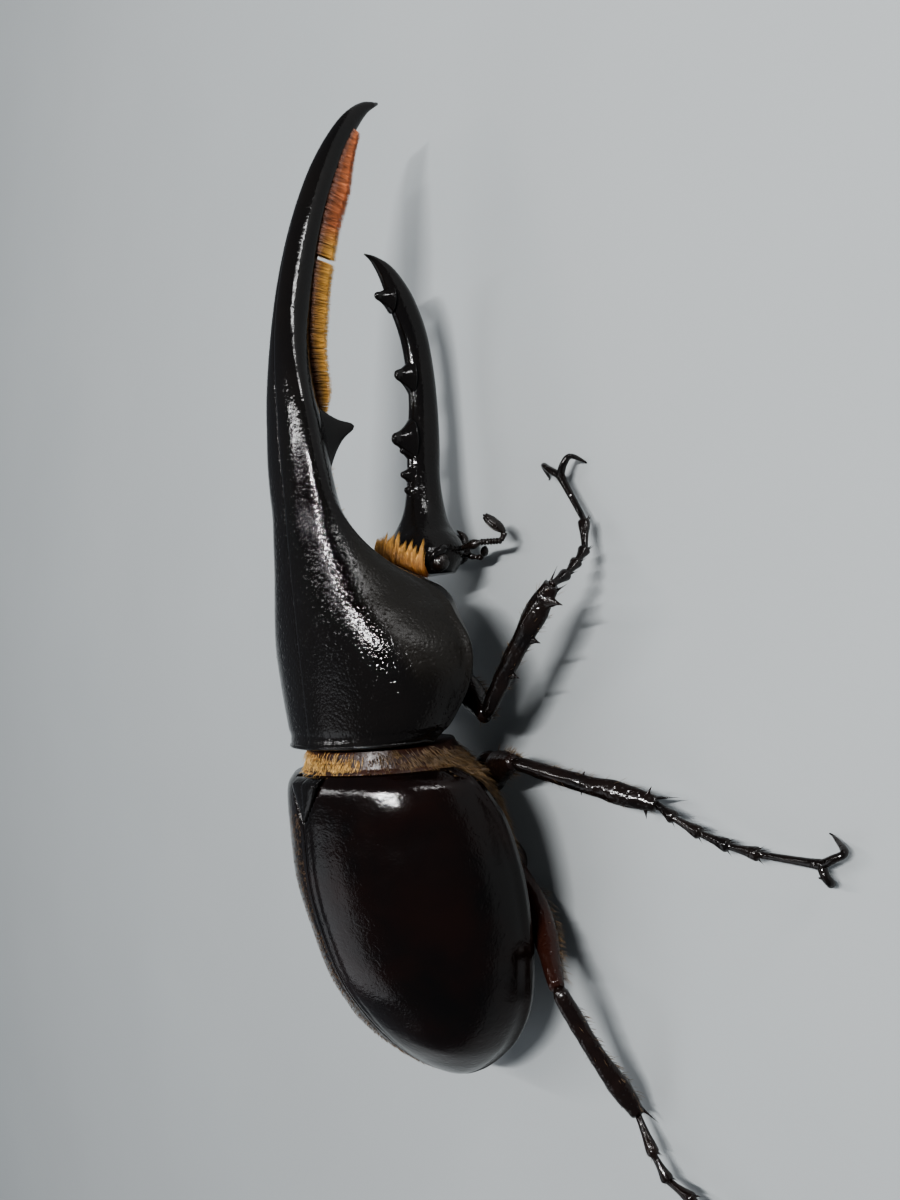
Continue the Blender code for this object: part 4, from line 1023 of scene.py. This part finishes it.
def foot(ankle, joints, claws):
    """Grids of five foot joints, their end spines, and the claws."""
    joints = [np.array(j, float) for j in joints]
    path, sizes = [], []
    for k, (near, far) in enumerate(zip([ankle, *joints], joints)):
        for share, size in zip(JOINT_SHARES, LAST_SIZES if k == 4 else JOINT_SIZES):
            path.append(near + (far - near) * share)
            sizes.append((size, size * 1.05))
    path.append(joints[-1])
    sizes.append((0.45, 0.45))
    grids = [tube(np.array(path), sizes, 22)]
    for near, far in zip([ankle, *joints[:3]], joints[:4]):
        down, out = limb_directions(near, far)
        for edge, drop in ((1, -0.1), (-1, -0.1), (0.5, -0.65), (-0.5, -0.65)):
            root = far - down * 0.35 + out * edge * 0.55 + [0, 0, drop * 0.8]
            tip = root + down * 0.9 + out * edge * 0.7 + [0, 0, drop * 0.7]
            grids.append(tooth(root, tip, 0.15, 0.15, out))
    for bend, tip in claws:
        start = joints[-1] + (joints[-2] - joints[-1]) * 0.08
        bend, tip = np.array(bend, float), np.array(tip, float)
        shoulder = start + (bend - start) * 0.55 + [0, 0, 0.35]
        hook = curve([start, shoulder, bend + (tip - bend) * 0.1, tip], 26)
        grids.append(tube(hook, spread(CLAW_SIZES, 26), 16))
    for grid in grids:
        grid[..., 2] = np.maximum(grid[..., 2], GROUND)
    return grids


# %% Build the six legs
BROWN = {"hip": 0.06, "thigh": 0.12, "shin": 0.02, "foot": 0.02}
HIND_BROWNER = 4.0
for name, (hip, middle, knee, ankle, joints, claws) in LEGS.items():
    browner = HIND_BROWNER if name.startswith("hind") else 1.0
    hip_part = ball(hip, (3.3, 2.7, 2.5))
    parts = {
        "hip": [swollen(hip_part, 0.06 * uneven(hip_part, 2.0, 13))],
        "thigh": [thigh(hip, middle, knee)],
        "shin": shin(name, knee, ankle),
        "foot": foot(ankle, joints, claws),
    }
    for part, grids in parts.items():
        made = as_piece(f"{name}_{part}_fine", grids, leg_shell, (f"{name}_{part}",))
        store(made, "brown", BROWN[part] * browner)

# %% [markdown]
# ## Hair
#
# The brush under the horn, the collar behind the pronotum, the fan on the forehead and the fur of
# the thorax are stiff hairs, golden to orange and dark at the root. Particle hair would be lost when
# the model is exported, so each hair is a slim closed blade of mesh, planted on the grid of the
# shell that grows it. Its place on the grid also gives its patch on the map.


# %% The hair's finish
def hair_finish(name, root, tip, far_tip=None, far_from=0.0, lie=(0.12, 1, 0.12)):
    """Dark at the root and bright at the tip. Lie stretches light and dark strands along the hairs.

    With a far tip, hairs beyond far_from forward have another colour.
    """
    made = Finish(name, IOR=1.55)
    along, chance = made.stored("strand", 0), made.stored("strand", 1)
    colour = made.level(chance, 0, 1, 0.72, 1.18)
    ends = made.blend(made.grain(1.5), tip, tuple(0.72 * c for c in tip))
    if far_tip:
        forward = made.add("SeparateXYZ", {0: made.place}).outputs[1]
        beyond = made.level(forward, MIDDLE_FORWARD - far_from + 1.2, MIDDLE_FORWARD - far_from - 2.5)
        ends = made.blend(beyond, ends, far_tip)
    mixed = made.blend(made.math("POWER", made.level(along, 0.06, 0.95), 1.45), root, ends)
    strands = made.between(0.7, 1.3, 0.42, 1.0, lie)
    light = made.math("MULTIPLY", colour, strands)
    lit = made.add("VectorMath", {0: mixed, "Scale": light}, operation="SCALE")
    made.set(Base_Color=lit.outputs[0], Roughness=made.between(0.4, 0.6, 0.4))
    made.relief((made.grain(0.1), 0.01))
    return made


PARTING = 75.0
brush_hair = hair_finish("brush_hair", (0.06, 0.015, 0.003), (1.0, 0.56, 0.13), (0.66, 0.22, 0.09), PARTING)
fan_hair = hair_finish("fan_hair", (0.20, 0.07, 0.015), (0.80, 0.44, 0.115), lie=(1, 0.12, 0.4))
gold_hair = hair_finish("gold_hair", (0.18, 0.08, 0.02), (0.80, 0.52, 0.18))
down_hair = hair_finish("down_hair", (0.03, 0.014, 0.006), (0.17, 0.095, 0.035))
# a dark brown, partly the fur's own colour and partly painted shade for hair on the sides of the collar and
# thorax
brown_and_shaded_hair = hair_finish("brown_and_shaded_hair", (0.03, 0.013, 0.005), (0.19, 0.115, 0.042))
print("hair:", len(brush_hair.tree.nodes), "nodes for the brush,", len(brown_and_shaded_hair.tree.nodes), "for the fur")


# %% The blade of one hair
RING_SHARES, RING_SIZES = (0.0, 0.4, 0.75), (1.0, 0.85, 0.5)  # its rings: how far along, and how thick
POINTS_A_HAIR, TRIANGLES_A_HAIR = 10, 16
PATCH, SUNK, OFF_GROUND = 0.003, 0.15, 0.05  # size on the map, depth of the root, least height
ALONG_HAIR = np.repeat([*RING_SHARES, 1.0], [3, 3, 3, 1])
THICK_ALONG = np.repeat([*RING_SIZES, 0.0], [3, 3, 3, 1])
TURN_OF_POINT = np.tile(math.tau * np.array([0, 1, 2]) / 3, 4)[:POINTS_A_HAIR]
ROUND_HAIR = np.array([0, 0.5, 1, 0, 0.5, 1, 0, 0.5, 1, 0.5])
BLADE = [(2, 1, 0)]
for ring in (0, 3):
    BLADE += [(ring + k, ring + (k + 1) % 3, ring + 3 + (k + 1) % 3, ring + 3 + k) for k in range(3)]
BLADE += [(6 + k, 6 + (k + 1) % 3, 9) for k in range(3)]
print("one hair:", POINTS_A_HAIR, "points,", len(BLADE), "faces")


# %% One piece of many hairs
def unit(vectors):
    """The same directions, each 1 long."""
    return vectors / (np.linalg.norm(vectors, axis=-1, keepdims=True) + 1e-9)


def hair_piece(name, points, tone, patch, finish):
    """One piece of hairs from their points. Each has a tone, and a place on the map that starts its patch."""
    count = len(points)
    faces = [tuple(n * POINTS_A_HAIR + v for v in face) for n in range(count) for face in BLADE]
    mesh = bpy.data.meshes.new(name)
    mesh.from_pydata(in_model(points.reshape(-1, 3)).tolist(), [], faces)
    mesh.flip_normals()
    mesh.shade_smooth()
    along_hair, tone = np.tile(ALONG_HAIR, count), np.repeat(tone, POINTS_A_HAIR)
    strand = np.stack([along_hair, tone, 0 * tone, 1 + 0 * tone], axis=-1)
    mesh.attributes.new("strand", "FLOAT_COLOR", "POINT").data.foreach_set("color", strand.ravel())
    patch = (patch[:, None] + PATCH * np.column_stack([ROUND_HAIR, ALONG_HAIR])).reshape(-1, 2)
    corners = np.empty(len(mesh.loops), int)
    mesh.loops.foreach_get("vertex_index", corners)
    mesh.uv_layers.new(name="OFBake").data.foreach_set("uv", np.clip(patch[corners], 0, 1).ravel())
    made = bpy.data.objects.new(name, mesh)
    bpy.context.scene.collection.objects.link(made)
    mesh.materials.append(finish.material)
    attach(made, "root")
    print(f"{name}: {count} hairs, {count * TRIANGLES_A_HAIR} triangles")
    return made


# %% Plant hairs on a grid
def coat(name, grid, rows, columns, reach, bend, thick, finish, ties, seed, wrap=True, out=None, laid=None):
    """Hairs at these places on a grid. Reach and bend are along it, across it and out of it.

    Ties is how unevenly they stand. Where laid gives the hairs' own points, the grid only serves the map.
    """
    chance = np.random.default_rng(seed)
    count = len(rows)
    last = grid.shape[0] - 1
    i0, j0 = np.clip(rows.astype(int), 0, last - 1), np.floor(columns).astype(int)
    a, b = (rows - i0)[:, None], (columns - j0)[:, None]
    sides = grid.shape[1]
    if wrap:
        j0, j1 = j0 % sides, (j0 + 1) % sides
    else:
        j0, j1 = np.clip(j0, 0, sides - 2), np.clip(j0 + 1, 1, sides - 1)

    def read(table):
        """What a table on the grid says at each hair's place."""
        near = table[i0, j0] * (1 - b) + table[i0, j1] * b
        return near * (1 - a) + (table[i0 + 1, j0] * (1 - b) + table[i0 + 1, j1] * b) * a

    root, out = read(grid), unit(read(out_of(grid, wrap) if out is None else out))
    along = unit(read(np.gradient(grid, axis=0)))
    across = np.cross(out, along)
    axes = np.stack([along, across, out], axis=1)
    waves, starts = chance.normal(0, 1.6, (3, 3)), chance.uniform(0, 6, 3)
    drift = np.stack([np.sin(root @ wave + start) for wave, start in zip(waves, starts)], axis=1)
    size = chance.uniform(1 - 2 * ties, 1 + ties, count)[:, None]
    reach, bend = (np.broadcast_to(np.asarray(v, float), (count, 3)) for v in (reach, bend))
    length = np.linalg.norm(reach, axis=1, keepdims=True)
    shift = (chance.normal(0, ties, (count, 3)) + drift * ties) * length
    way = np.einsum("nk,nkd->nd", (reach + shift) * size, axes)
    curl = np.einsum("nk,nkd->nd", bend * size, axes)
    root = root - out * SUNK
    side = unit(np.cross(way, chance.normal(0, 1, (count, 3))))
    other = unit(np.cross(way, side))
    points = np.empty((count, POINTS_A_HAIR, 3))
    for n, (share, wide, turn) in enumerate(zip(ALONG_HAIR, THICK_ALONG, TURN_OF_POINT)):
        spoke = (side * math.cos(turn) + other * math.sin(turn)) * thick * wide
        points[:, n] = root + way * share + curl * share**2 + spoke
    points[..., 2] = np.maximum(points[..., 2], OFF_GROUND)
    tone = chance.uniform(0, 1, count)
    patch = np.column_stack([columns / sides % 1, rows / (last + 1)])
    return hair_piece(name, points if laid is None else laid, tone, patch, finish)


# %% [markdown]
# ### The brush under the horn
#
# The brush stands straight out of the horn's underside, as dense as velvet. It is golden near the
# tooth and turns red-orange towards the tip, with a slanting gap between. Hairs get shorter at both
# ends of the brush. Behind the tooth a thin fringe of short golden hairs goes on along the same
# line.

# %% Where the brush grows
chance = np.random.default_rng(21)
BRUSH_HAIRS, PARTING_HALF, PARTING_SLANT = 12000, 0.42, 0.62
brush_place = chance.uniform(48.8, 96.0, BRUSH_HAIRS)
ring_places = np.concatenate([[0] * len(lip), places])


def shield_rows_at(place):
    """The row of the pronotum and horn grid at places along its top."""
    return np.interp(place, places, np.arange(len(lip), len(ring_places)))


brush_rows = shield_rows_at(brush_place)
low_column = np.interp(1.5 * math.pi, turn, np.arange(len(turn)))
spread_round = np.interp(brush_place, [50, 60, 75, 96], [5.0, 8.0, 11.0, 14.0])
brush_columns = low_column + chance.uniform(-1, 1, BRUSH_HAIRS) * spread_round
aside = shield_grid[brush_rows.astype(int), brush_columns.astype(int), 1]
kept = np.abs(brush_place - PARTING + PARTING_SLANT * aside) > PARTING_HALF
brush_rows, brush_columns, brush_place = brush_rows[kept], brush_columns[kept], brush_place[kept]
print("hairs kept beside the parting:", len(brush_place))

# %% Plant the brush
length = 3.1 * smoothly(brush_place, 46.0, 53.5) * (1 - 0.55 * smoothly(brush_place, 86, 96.5))
reach = np.stack([0.1 * length, 0 * length, length], axis=-1)
down_from_horn = np.zeros(shield_grid.shape)
spine = shield_row(ring_places)
down_from_horn[..., 0] = (spine[:, 2] - spine[:, 0])[:, None]
down_from_horn[..., 2] = (spine[:, 3] - spine[:, 1])[:, None]
down_from_horn = unit(down_from_horn) + 0.35 * out_of(shield_grid)
coat("horn_brush", shield_grid, brush_rows, brush_columns, reach, (0, 0, 0), 0.045, brush_hair, 0.02, 2,
     out=down_from_horn)

# %% Plant the fringe
FRINGE_HAIRS = 1500
fringe_rows = shield_rows_at(chance.uniform(29, 45, FRINGE_HAIRS))
fringe_columns = low_column + chance.normal(0, 2.5, FRINGE_HAIRS)
coat("horn_fringe", shield_grid, fringe_rows, fringe_columns, (0.25, 0, 0.75), (0.1, 0, 0), 0.03, gold_hair,
     0.2, 7)

# %% [markdown]
# ### Collar and thorax fur
#
# Golden hair fills the gap behind the pronotum and lies back over the neck. It is parted by dark
# slots and worn off in one place, so more hairs are drawn than kept. Further down it is thinner and
# darker brown, partly brown hair and partly painted shade on the sides, and brown-gold fur in the same
# partly painted-shade brown covers the sides of the thorax above the legs.

# %% Plant the collar
chance = np.random.default_rng(22)
COLLAR_HAIRS, FUR_HAIRS = 8000, 7000


def body_columns(turn):
    """The column of a body grid at each turn."""
    return (turn % math.tau) / math.tau * BODY_SIDES - 0.5


neck_turn = chance.uniform(math.pi / 2 - 1.9, math.pi / 2 + 1.9, COLLAR_HAIRS)
neck_rows = chance.uniform(0.0, 14.5, COLLAR_HAIRS)
neck_columns = body_columns(neck_turn)
down_side = np.abs(neck_turn - math.pi / 2)
slots = np.sin(neck_rows * 0.55 + 17 * neck_turn) + 0.7 * np.sin(31 * neck_turn + 1.3)
worn_off = hump(down_side, 0.72, 0.16)
dense = 0.95 - 0.75 * (slots > 0.95) - 0.85 * worn_off - 0.45 * smoothly(down_side, 0.75, 1.0)
kept = chance.uniform(0, 1, COLLAR_HAIRS) < np.clip(dense, 0.06, 1)
# hairs high on the neck stay golden; lower ones take the darker brown finish, which is partly painted shade
# on the collar's sides
golden = kept & (down_side + chance.normal(0, 0.05, COLLAR_HAIRS) < 0.66)
for word, chosen, finish in (("gold", golden, gold_hair), ("brown", kept & ~golden, brown_and_shaded_hair)):
    coat("collar_hair_" + word, thorax_grid, neck_rows[chosen], neck_columns[chosen], (1.3, 0, 0.34),
         (0.3, 0, -0.2), 0.06, finish, 0.2, 3)

# %% Plant the fur
flank = np.where(chance.uniform(size=FUR_HAIRS) < 0.5, 0.0, math.pi)
side_turn = flank + chance.normal(0, 0.75, FUR_HAIRS)
side_turn = np.where(np.sin(side_turn) > 0.2, -side_turn, side_turn)
fur_rows = chance.triangular(2, 8, 66, FUR_HAIRS)
coat("thorax_fur", thorax_grid, fur_rows, body_columns(side_turn), (1.0, 0, 0.9), (0.8, 0, -0.4), 0.055,
     brown_and_shaded_hair, 0.22, 4)

# %% [markdown]
# ### Front roll and forehead fan
#
# The pronotum's front edge is rolled into a black lip over the head. A tube along the edge makes
# it, thick in the middle and gone at both ends. From under it a fan of golden hair lies forward
# over the forehead in pointed tufts. Here hairs that share a tuft aim at one spot, and the shorter
# ones stop on the way, so each tuft ends in a point. Hair planted evenly on the grid would end in a
# straight edge.

# %% The roll along the pronotum's front edge
roll_line = front_line(25.8, 19.45)
roll_size = 1.05 * np.sqrt(np.clip(1 - (arch / ARCH_HALF) ** 2, 0.01, 1))
roll_grid = tube(roll_line, np.column_stack([roll_size, roll_size]), 16)
store_plain(as_piece("front_roll", [roll_grid], black_shell), 0.8)

# %% Where each hair of the fan starts and ends
chance = np.random.default_rng(23)
TUFTS, HAIRS_A_TUFT = 27, 120
tuft = np.repeat(np.arange(TUFTS), HAIRS_A_TUFT)
middle = 2 * tuft / (TUFTS - 1) - 1
spot = middle + chance.normal(0, 0.04, len(tuft))
depth = chance.uniform(0, 1, len(tuft))
roots = np.stack([26.1 - 2 * spot**2 + 0.4 * depth, 5.4 * spot, 18.7 - 3.0 * spot**2 - 0.9 * depth], axis=-1)
longer = chance.uniform(0.72, 1.15, TUFTS)[tuft]
tips = np.stack([25.6 + 5.6 * longer - 2 * middle**2, 6.2 * middle, 17.9 - 2.6 * middle**2], axis=-1)
tips = tips + chance.normal(0, 0.08, tips.shape)
tips = roots + (tips - roots) * (1 - 0.55 * chance.uniform(0, 1, (len(tuft), 1)) ** 1.6)
print("forehead fan:", TUFTS, "tufts,", len(roots), "hairs")

# %% Lay the fan
FAN_ARCH, FAN_THICK = 0.7, 0.045
share, wide = ALONG_HAIR[None, :, None], THICK_ALONG[None, :, None] * FAN_THICK
ring = np.stack([0 * TURN_OF_POINT, np.cos(TURN_OF_POINT), np.sin(TURN_OF_POINT)], axis=-1)[None]
laid = roots[:, None] + (tips - roots)[:, None] * share + ring * wide
laid[..., 2] += (4 * FAN_ARCH * share * (1 - share))[..., 0]
strip = np.stack([roots, roots - [0, 0, 0.01]])
coat("forehead_fan", strip, np.zeros(len(roots)), np.arange(len(roots)) * 1.0, (0, 0, 1), (0, 0, 0),
     FAN_THICK, fan_hair, 0.0, 5, laid=laid)

# %% [markdown]
# ### Down on the wing case and bristles on the legs
#
# Very short brown down grows beside the seam, on the left wing case. It only shows where it is seen
# edge on. The legs carry sparse bristles along the lower side of the shins and thighs. Both are the
# same blades, planted on the grids that made the wing case and the limbs.

# %% Plant the down
chance = np.random.default_rng(24)
DOWN_HAIRS = 2600
rows = chance.uniform(24, 146, DOWN_HAIRS)
columns = np.abs(chance.normal(0, 5, DOWN_HAIRS)) + 3.0
coat("down_left", outer * (1, -1, 1), rows, columns, (0.4, 0, 0.3), (0.15, 0, -0.1), 0.03, down_hair, 0.2, 6,
     wrap=False)

# %% Plant the leg bristles
for number, (name, (hip, middle, knee, ankle, *_)) in enumerate(LEGS.items()):
    chance = np.random.default_rng(40 + number)
    for part, grid, (first, last), count, wide, reach, bend, thick, seed in (
        ("shin", shin(name, knee, ankle)[0], (10, 53), 170, 0.9, (0.7, 0, 0.75), (0.3, 0, 0), 0.035, 50),
        ("thigh", thigh(hip, middle, knee), (14, 44), 260, 0.5, (0.6, 0, 1.1), (0.4, 0, 0), 0.04, 60),
    ):
        rows = chance.uniform(first, last, count)
        columns = (1.5 * math.pi + chance.normal(0, wide, count)) / math.tau * LIMB_SIDES
        coat(f"{name}_{part}_bristles", grid, rows, columns, reach, bend, thick, brown_and_shaded_hair, 0.2,
             seed + number)

# %% [markdown]
# ## Floor and light
#
# A black glossy shell shows almost nothing of its own colour. What draws its form is what it
# mirrors. Three slim lamps stand where the beetle's curves throw them to the camera as narrow white
# streaks, a large dim one behind it lays a soft grey band on the wing cases, and the surroundings
# are kept darker still. Large bright lamps all round would turn the black grey. The floor is plain
# and pale, and the view's contrast is raised a little to keep the blacks deep.

# %% The floor
floor_finish = Finish("pale_floor")
tone = floor_finish.grain(60.0, 4.0)
tone = floor_finish.blend(tone, (0.235, 0.247, 0.25), (0.26, 0.272, 0.275))
floor_finish.set(Base_Color=tone, Roughness=0.7)
floor_finish.relief((floor_finish.grain(1.5, 3.0), 0.02))
work = bmesh.new()
bmesh.ops.create_grid(work, x_segments=4, y_segments=4, size=3.0)
floor_mesh = bpy.data.meshes.new("floor")
work.to_mesh(floor_mesh)
work.free()
floor = bpy.data.objects.new("floor", floor_mesh)
bpy.context.scene.collection.objects.link(floor)
floor.location.z = -0.2 * MM
floor_mesh.materials.append(floor_finish.material)
print("floor:", round(floor.location.z / MM, 2), "mm below the claws' level")

# %% Soft studio light
world = bpy.data.worlds.new("dim_room")
bpy.context.scene.world = world
world.use_nodes = True
backdrop = world.node_tree.nodes["Background"]
backdrop.inputs["Color"].default_value = (0.80, 0.88, 1.0, 1)
backdrop.inputs["Strength"].default_value = 0.2


def soft_light(name, place, target, along, size, power, colour=(1, 1, 1)):
    """An oblong area light at a place, turned to a target, its long side laid along a direction."""
    light = bpy.data.lights.new(name, "AREA")
    light.shape = "RECTANGLE"
    light.size, light.size_y = size
    light.energy, light.color = power, colour
    made = bpy.data.objects.new(name, light)
    bpy.context.scene.collection.objects.link(made)
    back = (Vector(place) - Vector(target)).normalized()
    right = (Vector(along) - back * back.dot(Vector(along))).normalized()
    turned = Matrix((right, back.cross(right), back)).transposed().to_4x4()
    made.matrix_world = Matrix.Translation(place) @ turned
    return made


soft_light("tube_above", (0.10, -0.20, 0.68), (0, -0.02, 0), (1, 0, 0), (0.75, 0.014), 2.5)
soft_light("lamp_above", (-0.30, -0.14, 0.60), (0, -0.02, 0.02), (0.8, 0, 0.6), (0.20, 0.013), 7.6)
soft_light("low_strip", (-0.40, -0.32, 0.11), (0, -0.07, 0.02), (0, 0, 1), (0.18, 0.035), 0.8)
soft_light("dim_wall", (0.45, 0.55, 0.75), (0, 0, 0.02), (1, 0, 0), (0.6, 0.8), 2.1, (0.92, 0.96, 1.0))
bpy.context.scene.view_settings.look = "AgX - Medium High Contrast"
print("lamps:", len(bpy.data.lights))

# %% [markdown]
# ## Camera
#
# The beetle is seen from its right side and from above, with its horns towards the top of the
# picture. A camera turned with a look-at rule would keep the horizon level, so its three directions
# are given instead.

# %% The camera
camera_data = bpy.data.cameras.new("camera")
camera_data.lens, camera_data.sensor_width = 33.0, 36.0
camera_data.clip_start, camera_data.clip_end = 0.005, 20.0
camera = bpy.data.objects.new("camera", camera_data)
bpy.context.scene.collection.objects.link(camera)
TO_RIGHT, TO_TOP, TO_BACK = (-0.6138, 0.0747, -0.7860), (-0.0752, -0.9965, -0.0360), (-0.7859, 0.0370, 0.6172)
turned = Matrix((TO_RIGHT, TO_TOP, TO_BACK)).transposed().to_4x4()
camera.matrix_world = Matrix.Translation((-0.13764, 0.00084, 0.11483)) @ turned
bpy.context.scene.camera = camera
height = round(camera.matrix_world.translation.z / MM)
print("camera:", camera_data.lens, "mm lens,", height, "mm above the floor")
